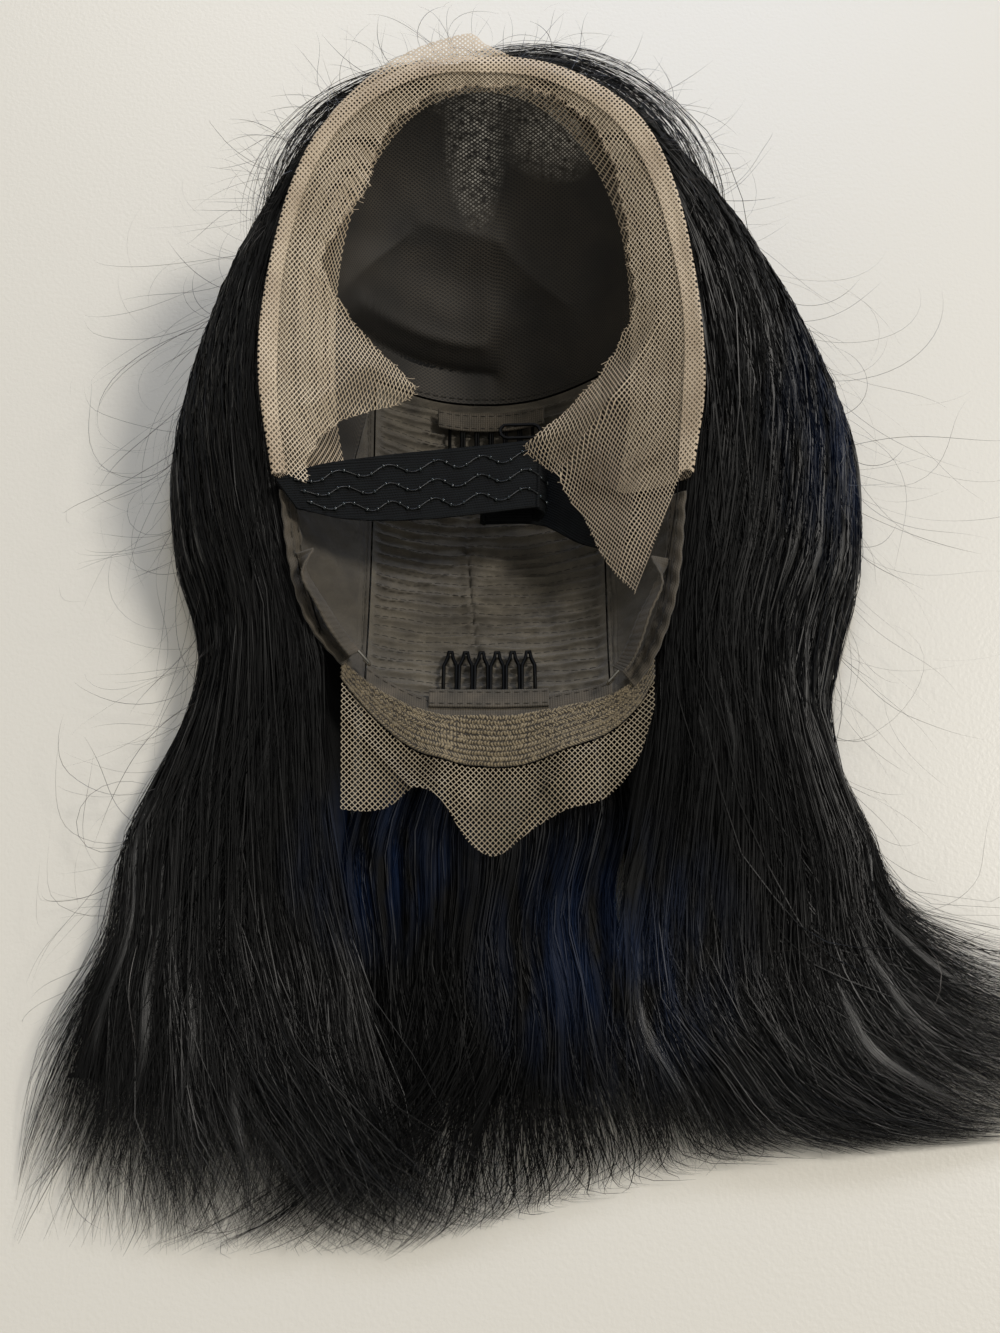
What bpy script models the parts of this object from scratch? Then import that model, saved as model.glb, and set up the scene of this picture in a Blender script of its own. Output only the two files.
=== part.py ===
"""Lace front wig lying on its back: the cap opens upwards, forehead towards +Y and nape towards -Y.

The cap is one bowl, worked out from a table of stations round its rim. Every panel, tape, comb
and cutter takes its place from that bowl. The hair is a set of tapered locks joined to a backing
that fills the room between the bowl and the surface the wig lies on.
"""

from collections import namedtuple
from math import atan2, ceil, cos, exp, hypot, pi, radians, sin, sqrt

import bmesh
import bpy
from mathutils import Vector

# Cap
CAP_HALF_WIDTH = 0.077
CAP_HALF_LENGTH = 0.112
CAP_BOTTOM = 0.0100  # inside of the bowl at its lowest, above the table
RIM_RISE = 0.102  # forehead rim above the bowl's lowest point
FABRIC = 0.0012
LACE = 0.0010
SEAM_GAP = 0.0003
WALL_TURN = 72.0  # degrees that a round wall turns from the bowl's bottom to its rim

# Panels
FRONTAL_SEAM_Y = 0.036  # where the ventilated front meets the wefted back, on the centre line
PANEL_SEAM_LEFT = -0.042
PANEL_SEAM_RIGHT = 0.046
CORNER_SHARE = 0.15  # share of the net's foot from the ear up to the corner of the panels
EAR_TURN = 108.0  # degrees from the forehead to the ear, round the rim
NAPE_TURN = 142.0  # degrees from the forehead to the nape's corner
EDGE_TAPE_SHARE = 0.94
WEFT_ROWS = 18
WEFT_HEIGHT = 0.0008

# Bare lace left to be cut off by the wearer
FLAP_REACH = 0.060
FLAP_DROP = 0.040
FOLD_LIFT = 0.0030
LACE_ROWS = 6

# Nape trim and bare nape lace
NAPE_LEFT = -0.050
NAPE_RIGHT = 0.061
TRIM_WIDTH = 0.0145
NAPE_LACE_DEPTH = 0.031
APRON_FALL = 0.30  # how far the apron falls for each metre it runs out
NAPE_TAPE_WIDTH = 0.0085
TAPE_THICKNESS = 0.0009

# Wire combs
COMB_TEETH = 6
COMB_WIDTH = 0.0348
COMB_TOOTH_LENGTH = 0.0190
COMB_LOOP_SHARE = 0.34
COMB_TIP_WIDTH = 0.0020
COMB_WIRE = 0.0008
COMB_STEM_GAP = 0.0003
COMB_TAPE_WIDTH = 0.0440
COMB_TAPE_DEPTH = 0.0075
CROWN_COMB_X = 0.003
CROWN_COMB_INSET = 0.0100  # from the crown seam
NAPE_COMB_X = 0.0025
NAPE_COMB_INSET = 0.0118  # from the nape's edge

# Elastic band across the cap, with its silicone side up
BAND_WIDTH = 0.0270
BAND_THICKNESS = 0.0012
BAND_ROLL_RADIUS = 0.0052
BAND_TURN_RADIUS = 0.0018
BAND_OVERLAP = 0.0160
BAND_ROLL_X = 0.0180
BAND_ROLL_Y = -0.0120
BAND_ROLL_TOP = 0.0480
HOOK_LENGTH = 0.0150
HOOK_WIDTH = 0.0058
HOOK_WIRE = 0.0015

# Adjuster straps between ear and nape
STRAP_WIDTH = 0.0080
STRAP_THICKNESS = 0.0010
STRAP_INSET = 0.0075
STRAP_START = 120.0  # degrees round the rim
STRAP_STATIONS = 13
STRAP_HOOK_LENGTH = 0.0070
STRAP_HOOK_WIRE = 0.0011

# Hair
DRAPE_WIDTH = 0.071
HAIR_BELOW_RIM = 0.0060
HAIR_FOOT = 0.0040
TAIL_LENGTH = 0.166  # from the nape's edge to the longest tips
TAIL_THICKNESS = 0.024
TIP_THICKNESS = 0.0050
SPREAD_LEFT = 0.146
SPREAD_RIGHT = 0.200
LOCK_RIDGE = 0.0040
TIP_NOTCH = 0.013  # how far the tips stand out between the notches
HAIR_SECTIONS = 18
PARTING_TURN = -4.0
LEAVE_TURN = 128.0  # where the side hair leaves the cap's edge
NAPE_HAIR_LEFT = -0.046
NAPE_HAIR_RIGHT = 0.050
HAIR_CLEARANCE = 0.0004

# One row for each station round the rim, from the forehead at 0 degrees to the nape at 180. Reach is a
# share of the cap's half sizes, height of the rim's rise, drape of the drape width, and hairline a share
# of the way from the bowl's middle to the rim. Steep is how much of the wall is a round quarter.
Station = namedtuple("Station", "turn reach_right reach_left height steep hairline drape_right drape_left")
RIM = [
    Station(0, 1.00, 1.00, 1.00, 0.80, 0.950, 0.26, 0.24),
    Station(25, 1.04, 1.03, 0.99, 0.80, 0.935, 0.42, 0.24),
    Station(45, 1.08, 1.06, 0.94, 0.70, 0.880, 0.60, 0.36),
    Station(70, 1.02, 1.02, 0.81, 0.50, 0.790, 0.88, 0.58),
    Station(90, 1.00, 1.00, 0.70, 0.35, 0.740, 1.00, 0.63),
    Station(108, 1.00, 0.99, 0.57, 0.25, 0.720, 1.00, 0.63),
    Station(130, 1.13, 1.08, 0.42, 0.12, 0.720, 0.90, 0.60),
    Station(142, 1.15, 1.06, 0.32, 0.05, 0.720, 0.78, 0.62),
    Station(160, 1.04, 1.03, 0.25, 0.00, 0.720, 0.50, 0.50),
    Station(180, 1.00, 1.00, 0.235, 0.00, 0.720, 0.40, 0.40),
]

# One row for each fold of the soft bowl: its two ends as shares of the half sizes, its width as a share of
# the half width, and its height as a share of the rim's rise. A raised fold is a ridge seen from inside.
Fold = namedtuple("Fold", "x0 y0 x1 y1 width height")
CAP_FOLDS = [
    Fold(-0.50, 0.40, 0.06, 0.36, 0.090, -0.020),
    Fold(-0.54, 0.50, 0.02, 0.46, 0.120, 0.080),
    Fold(-0.46, 0.62, -0.20, 0.74, 0.150, 0.055),
    Fold(-0.20, 0.74, 0.38, 0.56, 0.150, 0.055),
    Fold(-0.08, 0.90, -0.02, 0.76, 0.120, 0.030),
    Fold(-0.07, -0.36, -0.04, -0.66, 0.030, 0.012),
]

# One row for each station of the bare front lace, from the left ear over the forehead to the right. Turn is
# degrees round the rim with the right as plus. Inward and nape are where the free edge lies from the rim, as
# shares of the flap's reach, and drop is how far it hangs, as a share of the flap's drop.
LaceRow = namedtuple("LaceRow", "turn inward nape drop")
FRONT_LACE = [
    LaceRow(-107, 0.12, 0.06, 0.06),
    LaceRow(-103, 0.18, 0.00, 0.12),
    LaceRow(-98, 0.34, -0.03, 0.26),
    LaceRow(-91, 0.70, -0.03, 0.60),
    LaceRow(-83, 0.80, 0.03, 0.60),
    LaceRow(-75, 0.46, 0.03, 0.34),
    LaceRow(-69, 0.24, -0.02, 0.12),
    LaceRow(-60, 0.25, 0.00, 0.14),
    LaceRow(-48, 0.32, 0.00, 0.22),
    LaceRow(-30, 0.18, 0.00, 0.16),
    LaceRow(-12, 0.12, 0.00, 0.10),
    LaceRow(10, 0.11, 0.00, 0.09),
    LaceRow(28, 0.12, 0.00, 0.10),
    LaceRow(45, 0.20, 0.00, 0.14),
    LaceRow(62, 0.27, 0.00, 0.14),
    LaceRow(76, 0.32, 0.00, 0.20),
    LaceRow(84, 0.54, 0.02, 0.48),
    LaceRow(91, 0.90, 0.14, 0.76),
    LaceRow(96, 0.94, 0.12, 0.80),
    LaceRow(100, 0.70, 0.18, 0.72),
    LaceRow(103, 0.50, 0.34, 0.66),
    LaceRow(105, 0.34, 0.54, 0.62),
    LaceRow(107, 0.20, 0.62, 0.56),
]

# One row for each station across the nape lace: how far it hangs, and its ridges and hollows.
ApronRow = namedtuple("ApronRow", "across trim hang lift")
NAPE_APRON = [
    ApronRow(0.00, 0.30, 1.42, 0.10),
    ApronRow(0.14, 0.62, 0.86, -0.05),
    ApronRow(0.24, 0.82, 0.42, 0.00),
    ApronRow(0.32, 0.92, 0.45, 0.20),
    ApronRow(0.41, 0.98, 0.84, -0.02),
    ApronRow(0.49, 1.00, 0.97, -0.06),
    ApronRow(0.62, 0.98, 0.72, 0.00),
    ApronRow(0.72, 0.90, 0.66, 0.22),
    ApronRow(0.85, 0.70, 0.68, 0.02),
    ApronRow(0.95, 0.52, 0.56, 0.08),
    ApronRow(1.00, 0.40, 0.30, 0.14),
]

# One row for each lock of hair, from the inner one out. Lane is its share of the drape's width beside the
# cap, and the bend and the tip are shares of the hair's spread and of the tail's length.
Lock = namedtuple("Lock", "lane bend_x bend_y tip_x tip_y")
LEFT_LOCKS = [
    Lock(0.08, -0.37, 0.36, -0.35, 0.93),
    Lock(0.26, -0.46, 0.36, -0.46, 0.98),
    Lock(0.44, -0.57, 0.36, -0.60, 0.99),
    Lock(0.62, -0.69, 0.35, -0.75, 0.98),
    Lock(0.80, -0.80, 0.33, -0.89, 0.92),
    Lock(0.96, -0.86, 0.30, -1.00, 0.80),
]
RIGHT_LOCKS = [
    Lock(0.07, 0.30, 0.40, 0.33, 0.90),
    Lock(0.23, 0.38, 0.40, 0.50, 0.88),
    Lock(0.39, 0.47, 0.38, 0.67, 0.85),
    Lock(0.54, 0.55, 0.35, 0.82, 0.81),
    Lock(0.69, 0.61, 0.30, 0.96, 0.70),
    Lock(0.83, 0.65, 0.24, 1.00, 0.58),
    Lock(0.96, 0.66, 0.17, 0.99, 0.46),
]
NAPE_LOCKS = [
    Lock(0.07, -0.26, 0.45, -0.27, 0.92),
    Lock(0.24, -0.16, 0.45, -0.18, 0.97),
    Lock(0.41, -0.04, 0.45, -0.05, 0.98),
    Lock(0.58, 0.06, 0.45, 0.05, 0.96),
    Lock(0.75, 0.13, 0.45, 0.14, 0.92),
    Lock(0.92, 0.22, 0.45, 0.22, 0.89),
]

# One row for each station of the hair under the cap: the share of the way to the rim where it begins.
Keel = namedtuple("Keel", "turn share")
KEEL = [
    Keel(0, 0.06),
    Keel(60, 0.06),
    Keel(90, 0.36),
    Keel(108, 0.62),
    Keel(128, 0.84),
]

HALF_TURN = 180.0
ABOVE_ALL = 0.20  # a height over every piece, for cutters
BEYOND_ALL = 0.40  # a distance past every piece, for cutters
MERGE = 0.00001

HAIR_BLACK = (0.006, 0.006, 0.008)
LACE_BEIGE = (0.50, 0.40, 0.28)
NET_BROWN = (0.055, 0.045, 0.035)
CAP_BROWN = (0.110, 0.092, 0.070)
TAPE_BROWN = (0.130, 0.105, 0.080)
BAND_BLACK = (0.010, 0.012, 0.013)
WIRE_BLACK = (0.012, 0.012, 0.012)


# Small helpers

def mix(low, high, share):
    """The value or vector at that share of the way from low to high."""
    return low + (high - low) * share


def smooth(rows, key, column, at):
    """A table's column at any key, on a smooth curve through its rows."""
    keys = [getattr(row, key) for row in rows]
    values = [getattr(row, column) for row in rows]
    at = min(max(at, keys[0]), keys[-1])
    i = 0
    while i < len(keys) - 2 and at > keys[i + 1]:
        i += 1

    def slope(k):
        low, high = max(k - 1, 0), min(k + 1, len(keys) - 1)
        return (values[high] - values[low]) / (keys[high] - keys[low])

    span = keys[i + 1] - keys[i]
    f = (at - keys[i]) / span
    ease = f * f * (3 - 2 * f)
    bend = f * (1 - f) * ((1 - f) * slope(i) - f * slope(i + 1)) * span
    return mix(values[i], values[i + 1], ease) + bend


def curve_through(points, count):
    """Count points on a smooth curve through the given ones, ends included."""
    found = []
    last = len(points) - 1
    for k in range(count):
        at = k / (count - 1) * last
        i = min(int(at), last - 1)
        f = at - i
        before, after = points[max(i - 1, 0)], points[min(i + 2, last)]
        start, end = points[i], points[i + 1]
        found.append(
            0.5
            * (
                2 * start
                + (end - before) * f
                + (2 * before - 5 * start + 4 * end - after) * f * f
                + (3 * start - before - 3 * end + after) * f * f * f
            )
        )
    return found


# The bowl

def cap_centre_y():
    """The bowl's middle, so that the forehead lies at +Y and the nape at -Y of the origin."""
    return 0.07 * CAP_HALF_LENGTH


def station(turn, column):
    """A rim column at a turn in degrees, plus towards the wig's right in the picture."""
    if column in ("reach", "drape"):
        column += "_right" if turn >= 0 else "_left"
    return smooth(RIM, "turn", column, abs(turn))


def cap_plan(turn, share):
    """The place in plan at that turn and that share of the way from the bowl's middle to its rim."""
    reach = station(turn, "reach") * share
    angle = radians(turn)
    x = reach * CAP_HALF_WIDTH * sin(angle)
    return x, cap_centre_y() + reach * CAP_HALF_LENGTH * cos(angle)


def polar(x, y):
    """The turn and the share of a place in plan, the reverse of cap_plan."""
    across, along = x / CAP_HALF_WIDTH, (y - cap_centre_y()) / CAP_HALF_LENGTH
    turn = atan2(across, along) * HALF_TURN / pi
    return turn, hypot(across, along) / station(turn, "reach")


def rim_height(turn):
    return CAP_BOTTOM + RIM_RISE * station(turn, "height")


def fold_height(x, y):
    """How far the bowl's folds lift it there."""
    lift = 0.0
    place = Vector((x / CAP_HALF_WIDTH, (y - cap_centre_y()) / CAP_HALF_LENGTH))
    for fold in CAP_FOLDS:
        start, end = Vector((fold.x0, fold.y0)), Vector((fold.x1, fold.y1))
        line = end - start
        along = min(max((place - start).dot(line) / line.length_squared, 0.0), 1.0)
        away = (place - start - line * along).length / fold.width
        lift += RIM_RISE * fold.height * exp(-away * away)
    return lift


def cap_height(x, y):
    """The bowl's inner surface over a place in plan."""
    turn, share = polar(x, y)
    share = min(share, 1.0)
    inside = sin(radians(WALL_TURN)) * share
    whole = 1 - cos(radians(WALL_TURN))
    round_wall = (1 - sqrt(1 - inside * inside)) / whole
    dish = share**2
    steep = station(turn, "steep")
    rise = (rim_height(turn) - CAP_BOTTOM) * mix(dish, round_wall, steep)
    return CAP_BOTTOM + rise + fold_height(x, y) * (1 - share**4)


def cap_normal(x, y):
    """The bowl's inward normal."""
    step = 0.0005
    slope_x = (cap_height(x + step, y) - cap_height(x - step, y)) / (2 * step)
    slope_y = (cap_height(x, y + step) - cap_height(x, y - step)) / (2 * step)
    return Vector((-slope_x, -slope_y, 1)).normalized()


def cap_point(x, y, lift=0.0):
    """A point over the bowl's inner surface, lifted off it along its normal."""
    point = Vector((x, y, cap_height(x, y)))
    return point + cap_normal(x, y) * lift if lift else point


def rim_point(turn, share=1.0, lift=0.0):
    return cap_point(*cap_plan(turn, share), lift)


def rim_axes(turn):
    """The level directions at the rim: inwards, and along it towards the nape."""
    ahead = Vector(cap_plan(turn + 1.5, 1.0)) - Vector(cap_plan(turn - 1.5, 1.0))
    along = Vector((ahead.x, ahead.y, 0)).normalized() * (1 if turn >= 0 else -1)
    inwards = Vector((along.y, -along.x, 0)) * (1 if turn >= 0 else -1)
    return inwards, along


# Building blocks

def material(name, colour, roughness, metallic=0.0):
    made = bpy.data.materials.new(name)
    made.use_nodes = True
    shader = made.node_tree.nodes["Principled BSDF"]
    shader.inputs["Base Color"].default_value = (*colour, 1.0)
    shader.inputs["Roughness"].default_value = roughness
    shader.inputs["Metallic"].default_value = metallic
    made.diffuse_color = (*colour, 1.0)
    return made


def object_of(name, bm, finish, collection):
    """The mesh as a named object in the collection, with its finish."""
    mesh = bpy.data.meshes.new(name)
    bm.to_mesh(mesh)
    bm.free()
    made = bpy.data.objects.new(name, mesh)
    if finish is not None:
        mesh.materials.append(finish)
    collection.objects.link(made)
    return made


def grid(columns, rows, place):
    """An open sheet: a grid whose points are moved to place(across, up), both from 0 to 1."""
    bm = bmesh.new()
    bmesh.ops.create_grid(bm, x_segments=columns, y_segments=rows, size=1.0)
    for vertex in bm.verts:
        vertex.co = place((vertex.co.x + 1) / 2, (vertex.co.y + 1) / 2)
    return bm


def sheet(name, columns, rows, place, thickness, finish, collection):
    """A cloth wall: an open grid that Solidify thickens away from its upper side."""
    made = object_of(name, grid(columns, rows, place), finish, collection)
    wall = made.modifiers.new("wall", "SOLIDIFY")
    wall.thickness = thickness
    wall.offset = -1.0
    made.data.shade_smooth()
    return made


def ribbon(name, centres, widths, thickness, finish, collection):
    """A strip of webbing through its centre points, each with its own half-width vector."""
    last = len(centres) - 1

    def place(along, across):
        i = round(along * last)
        return centres[i] + widths[i] * (2 * across - 1)

    made = object_of(name, grid(last, 1, place), finish, collection)
    wall = made.modifiers.new("wall", "SOLIDIFY")
    wall.thickness = thickness
    wall.offset = 0.0
    return made


def wire(name, points, diameter, finish, collection, closed=False, sides=1):
    """A round wire through its points, as a mesh with its ends capped."""
    curve = bpy.data.curves.new(name, "CURVE")
    curve.dimensions = "3D"
    curve.bevel_depth = diameter / 2
    curve.bevel_resolution = sides
    curve.use_fill_caps = True
    spline = curve.splines.new("POLY")
    spline.points.add(len(points) - 1)
    for point, co in zip(spline.points, points):
        point.co = (*co, 1.0)
    spline.use_cyclic_u = closed
    drawn = bpy.data.objects.new(name + "_line", curve)
    collection.objects.link(drawn)
    mesh = bpy.data.meshes.new_from_object(drawn.evaluated_get(bpy.context.evaluated_depsgraph_get()))
    bpy.data.objects.remove(drawn)
    bm = bmesh.new()
    bm.from_mesh(mesh)
    bpy.data.meshes.remove(mesh)
    bmesh.ops.remove_doubles(bm, verts=bm.verts, dist=MERGE)
    bmesh.ops.recalc_face_normals(bm, faces=bm.faces)
    return object_of(name, bm, finish, collection)


def combine(target, others, operation):
    """Adds one exact Boolean for each of the other objects."""
    for other in others:
        step = target.modifiers.new(operation.lower(), "BOOLEAN")
        step.operation = operation
        step.object = other
        step.solver = "EXACT"


def settle(target):
    """Applies the object's modifiers and keeps its main body, without the cut-off crumbs or sealed voids."""
    graph = bpy.context.evaluated_depsgraph_get()
    mesh = bpy.data.meshes.new_from_object(target.evaluated_get(graph))
    target.modifiers.clear()
    bm = bmesh.new()
    bm.from_mesh(mesh)
    bpy.data.meshes.remove(mesh)
    bmesh.ops.remove_doubles(bm, verts=bm.verts, dist=MERGE)
    bmesh.ops.dissolve_degenerate(bm, edges=bm.edges, dist=MERGE)
    bmesh.ops.triangulate(bm, faces=bm.faces)
    unseen, bodies = set(bm.faces), []
    while unseen:
        queue = [unseen.pop()]
        body = list(queue)
        while queue:
            for edge in queue.pop().edges:
                for face in edge.link_faces:
                    if face in unseen:
                        unseen.remove(face)
                        queue.append(face)
                        body.append(face)
        bodies.append(body)
    main = max(bodies, key=len)
    crumbs = [face for body in bodies if body is not main for face in body]
    bmesh.ops.delete(bm, geom=crumbs, context="FACES")
    bm.to_mesh(target.data)
    bm.free()


def hide(helper):
    helper.hide_render = True
    helper.display_type = "WIRE"
    return helper


# Cap panels

def panel_corner(side):
    """Where the crown seam meets a side seam."""
    return Vector((PANEL_SEAM_RIGHT if side > 0 else PANEL_SEAM_LEFT, FRONTAL_SEAM_Y))


def ear_place(side):
    """The front net's lower corner, at the ear."""
    return Vector(cap_plan(side * EAR_TURN, station(EAR_TURN, "hairline")))


def front_net_point(across, up):
    """The ventilated front, from the crown seam up to the hairline."""
    turn = mix(-EAR_TURN, EAR_TURN, across)
    top = Vector(cap_plan(turn, station(turn, "hairline")))
    away = Vector((-SEAM_GAP, 3 * SEAM_GAP))
    left, right = panel_corner(-1) + away, panel_corner(1) + Vector((-away.x, away.y))
    if across < CORNER_SHARE:
        foot = mix(ear_place(-1) + away, left, across / CORNER_SHARE)
    elif across > 1 - CORNER_SHARE:
        foot = mix(ear_place(1) + Vector((-away.x, away.y)), right, (1 - across) / CORNER_SHARE)
    else:
        foot = mix(left, right, (across - CORNER_SHARE) / (1 - 2 * CORNER_SHARE))
    steepening = 1 - (1 - up) ** 1.3
    return cap_point(*mix(foot, top, steepening))


def nape_y(x):
    """The nape's edge of the wefted panel at a place across it."""
    low, high = -CAP_HALF_LENGTH * 1.3, 0.0
    for _ in range(40):
        middle = (low + high) / 2
        low, high = (low, middle) if polar(x, middle)[1] <= 1.0 else (middle, high)
    return (low + high) / 2


def back_panel_point(across, up):
    """The wefted panel, with a rib for each weft and a gathered seam."""
    x = mix(PANEL_SEAM_LEFT + SEAM_GAP, PANEL_SEAM_RIGHT - SEAM_GAP, across)
    y = mix(nape_y(x) + 2 * SEAM_GAP, FRONTAL_SEAM_Y - SEAM_GAP, up)
    rib = WEFT_HEIGHT * sin(pi * WEFT_ROWS * up + 0.5 * sin(3 * pi * across)) ** 2
    edge = min(up, 1 - up, across, 1 - across)
    return cap_point(x, y, -rib * min(edge / 0.06, 1.0))


def side_panel_point(side):
    """A side panel's place function, from the wefted panel out under the edge tape."""
    corner = panel_corner(side) + Vector((side * SEAM_GAP, -SEAM_GAP))
    ear = ear_place(side) + Vector((-side * SEAM_GAP, -2 * SEAM_GAP))

    def place(across, up):
        u = across if side > 0 else 1 - across
        rim_front = Vector(cap_plan(side * (EAR_TURN + 1), 0.985))
        front = mix(corner, ear, 2 * u) if u <= 0.5 else mix(ear, rim_front, 2 * u - 1)
        low = Vector((corner.x, nape_y(corner.x) + 0.002))
        back = mix(low, Vector(cap_plan(side * (NAPE_TURN - 4), 0.985)), u)
        inner = mix(low, corner, up)
        outer = Vector(cap_plan(side * mix(NAPE_TURN - 4, EAR_TURN + 1, up), 0.985))
        straight = mix(mix(low, back_end(side), u), mix(corner, rim_front, u), up)
        return cap_point(*(mix(inner, outer, u) + mix(back, front, up) - straight))

    return place


def back_end(side):
    """The side panel's outer corner at the nape."""
    return Vector(cap_plan(side * (NAPE_TURN - 4), 0.985))


def edge_tape_point(side):
    """The tape that binds the cap's edge from ear to nape, over the panel."""

    def place(across, up):
        u = across if side > 0 else 1 - across
        turn = side * mix(NAPE_TURN, EAR_TURN + 1, up)
        return rim_point(turn, mix(EDGE_TAPE_SHARE, 1.0, u), FABRIC + 2 * SEAM_GAP)

    return place


# Lace

def lace_section(turn):
    """The bare front lace at one station: up from the hairline, over the rim, and in along its flap."""
    inwards, along = rim_axes(turn)
    inward, nape, drop = (smooth(FRONT_LACE, "turn", name, turn) for name in ("inward", "nape", "drop"))
    start = rim_point(turn, station(turn, "hairline") - 0.020, LACE + 2 * SEAM_GAP)
    rim = rim_point(turn) + Vector((0, 0, 0.6 * FOLD_LIFT))
    over = rim + inwards * FOLD_LIFT + Vector((0, 0, 0.5 * FOLD_LIFT))
    free = over + (inwards * inward + along * nape) * FLAP_REACH - Vector((0, 0, drop * FLAP_DROP))
    middle = mix(over, free, 0.55) + Vector((0, 0, 0.10 * FLAP_DROP * inward))
    wall = rim_point(turn, mix(station(turn, "hairline"), 1.0, 0.45), LACE + SEAM_GAP)
    return [start, wall, rim, over, middle, free]


def front_lace_point(across, up):
    turn = mix(1 - EAR_TURN, EAR_TURN - 1, across)
    section = curve_through(lace_section(turn), LACE_ROWS + 1)
    return section[round(up * LACE_ROWS)]


def apron_point(across, out, lift=0.0):
    """The surface that runs out from the nape's edge: across from left to right, and metres out."""
    x = mix(NAPE_LEFT, NAPE_RIGHT, across)
    y = nape_y(x)
    turn, _ = polar(x, y)
    ridge = smooth(NAPE_APRON, "across", "lift", across) * 0.020 * min(out / TRIM_WIDTH, 1.0)
    return Vector((x, y - out, rim_height(turn) - APRON_FALL * out + ridge + lift))


def nape_trim_point(across, up):
    depth = TRIM_WIDTH * smooth(NAPE_APRON, "across", "trim", across)
    return apron_point(across, mix(depth, 4 * SEAM_GAP, up))


def nape_lace_point(across, up):
    start = TRIM_WIDTH * smooth(NAPE_APRON, "across", "trim", across) + SEAM_GAP
    hang = NAPE_LACE_DEPTH * smooth(NAPE_APRON, "across", "hang", across)
    return apron_point(across, start + hang * (1 - up))


def nape_tape_point(across, up):
    """The tape sewn over the nape's edge inside the cap."""
    x = mix(NAPE_LEFT + 0.008, NAPE_RIGHT - 0.014, across)
    y = nape_y(x) + mix(0.0006, NAPE_TAPE_WIDTH, up)
    return cap_point(x, y, TAPE_THICKNESS + SEAM_GAP)


# Combs

def comb_line():
    """The wire of one comb in its own plane: x across, y from the spine to the tips."""
    pitch = COMB_WIDTH / COMB_TEETH
    leg = (COMB_WIRE + COMB_STEM_GAP) / 2
    shoulder = COMB_TOOTH_LENGTH * (1 - COMB_LOOP_SHARE)
    neck = COMB_TOOTH_LENGTH * (1 - 0.45 * COMB_LOOP_SHARE)
    line = []
    for tooth in range(COMB_TEETH):
        left = -COMB_WIDTH / 2 + tooth * pitch + leg
        right = left + pitch - 2 * leg
        middle = (left + right) / 2
        tip = COMB_TIP_WIDTH / 2
        line += [
            (left, 0.0),
            (left, shoulder),
            (middle - tip, neck),
            (middle - 0.7 * tip, COMB_TOOTH_LENGTH - 0.35 * tip),
            (middle + 0.7 * tip, COMB_TOOTH_LENGTH - 0.35 * tip),
            (middle + tip, neck),
            (right, shoulder),
            (right, 0.0),
        ]
    return line


def comb(name, x, y, direction, finish, collection):
    """A comb bent from one wire, whose teeth run along Y in that direction from a place in the bowl."""
    lift = 2 * SEAM_GAP + COMB_WIRE / 2
    points = [cap_point(x + across, y + direction * along, lift) for across, along in comb_line()]
    return wire(name, points, COMB_WIRE, finish, collection)


def comb_tape(name, x, y, direction, finish, collection):
    """The strip of tape sewn down over the foot of a comb."""
    half = COMB_TAPE_WIDTH / 2
    lift = 3 * SEAM_GAP + COMB_WIRE + TAPE_THICKNESS

    def place(across, up):
        along = mix(-COMB_TAPE_DEPTH + 0.0012, 0.0012, up if direction > 0 else 1 - up)
        return cap_point(x + mix(-half, half, across), y + direction * along, lift)

    return sheet(name, 6, 1, place, TAPE_THICKNESS, finish, collection)


# Band and straps

def band_line():
    """The band seen from the nape: in from the left ear, a roll, a turn back, and on to the right ear."""
    left = rim_point(-EAR_TURN - 6, 0.87, 0.007)
    right = rim_point(EAR_TURN + 8, 0.86, 0.007)
    middle = Vector((BAND_ROLL_X, BAND_ROLL_Y, BAND_ROLL_TOP - BAND_ROLL_RADIUS))
    top = middle + Vector((0, 0, BAND_ROLL_RADIUS))
    points = [mix(left, top, share) - Vector((0, 0, 0.002 * sin(pi * share))) for share in (0, 0.16, 0.36, 0.58, 0.80)]
    for step in range(7):
        angle = pi / 2 - pi * step / 6
        points.append(middle + BAND_ROLL_RADIUS * Vector((cos(angle), 0, sin(angle))))
    low = middle - Vector((BAND_OVERLAP, 0, BAND_ROLL_RADIUS + BAND_TURN_RADIUS))
    for step in range(5):
        angle = pi / 2 + pi * step / 4
        points.append(low + BAND_TURN_RADIUS * Vector((cos(angle), 0, sin(angle))))
    under = middle - Vector((-0.004, 0, BAND_ROLL_RADIUS + 2.4 * BAND_TURN_RADIUS))
    points += [under, mix(under, right, 0.5) - Vector((0, 0, 0.002)), mix(under, right, 0.84), right]
    return points


def elastic_band(finish, collection):
    centres = band_line()
    last = len(centres) - 1
    flat = Vector((0.05, 1.0, 0.08)).normalized()
    widths = []
    for i in range(last + 1):
        side = -1 if i < last / 2 else 1
        sewn = Vector((0.62 * side, 0.75, 0.34)).normalized()
        share = min(i, last - i, 3) / 3
        widths.append(mix(sewn, flat, share).normalized() * BAND_WIDTH / 2 * mix(0.8, 1.0, share))
    return ribbon("elastic_band", centres, widths, BAND_THICKNESS, finish, collection)


def oval(centre, across, along, length, width, count):
    """Points round an oval ring in the plane of two unit vectors."""
    half, radius = (length - width) / 2, width / 2
    found = []
    for i in range(count):
        angle = 2 * pi * i / count
        shift = half if cos(angle) >= 0 else -half
        found.append(centre + across * (radius * cos(angle) + shift) + along * radius * sin(angle))
    return found


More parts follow.
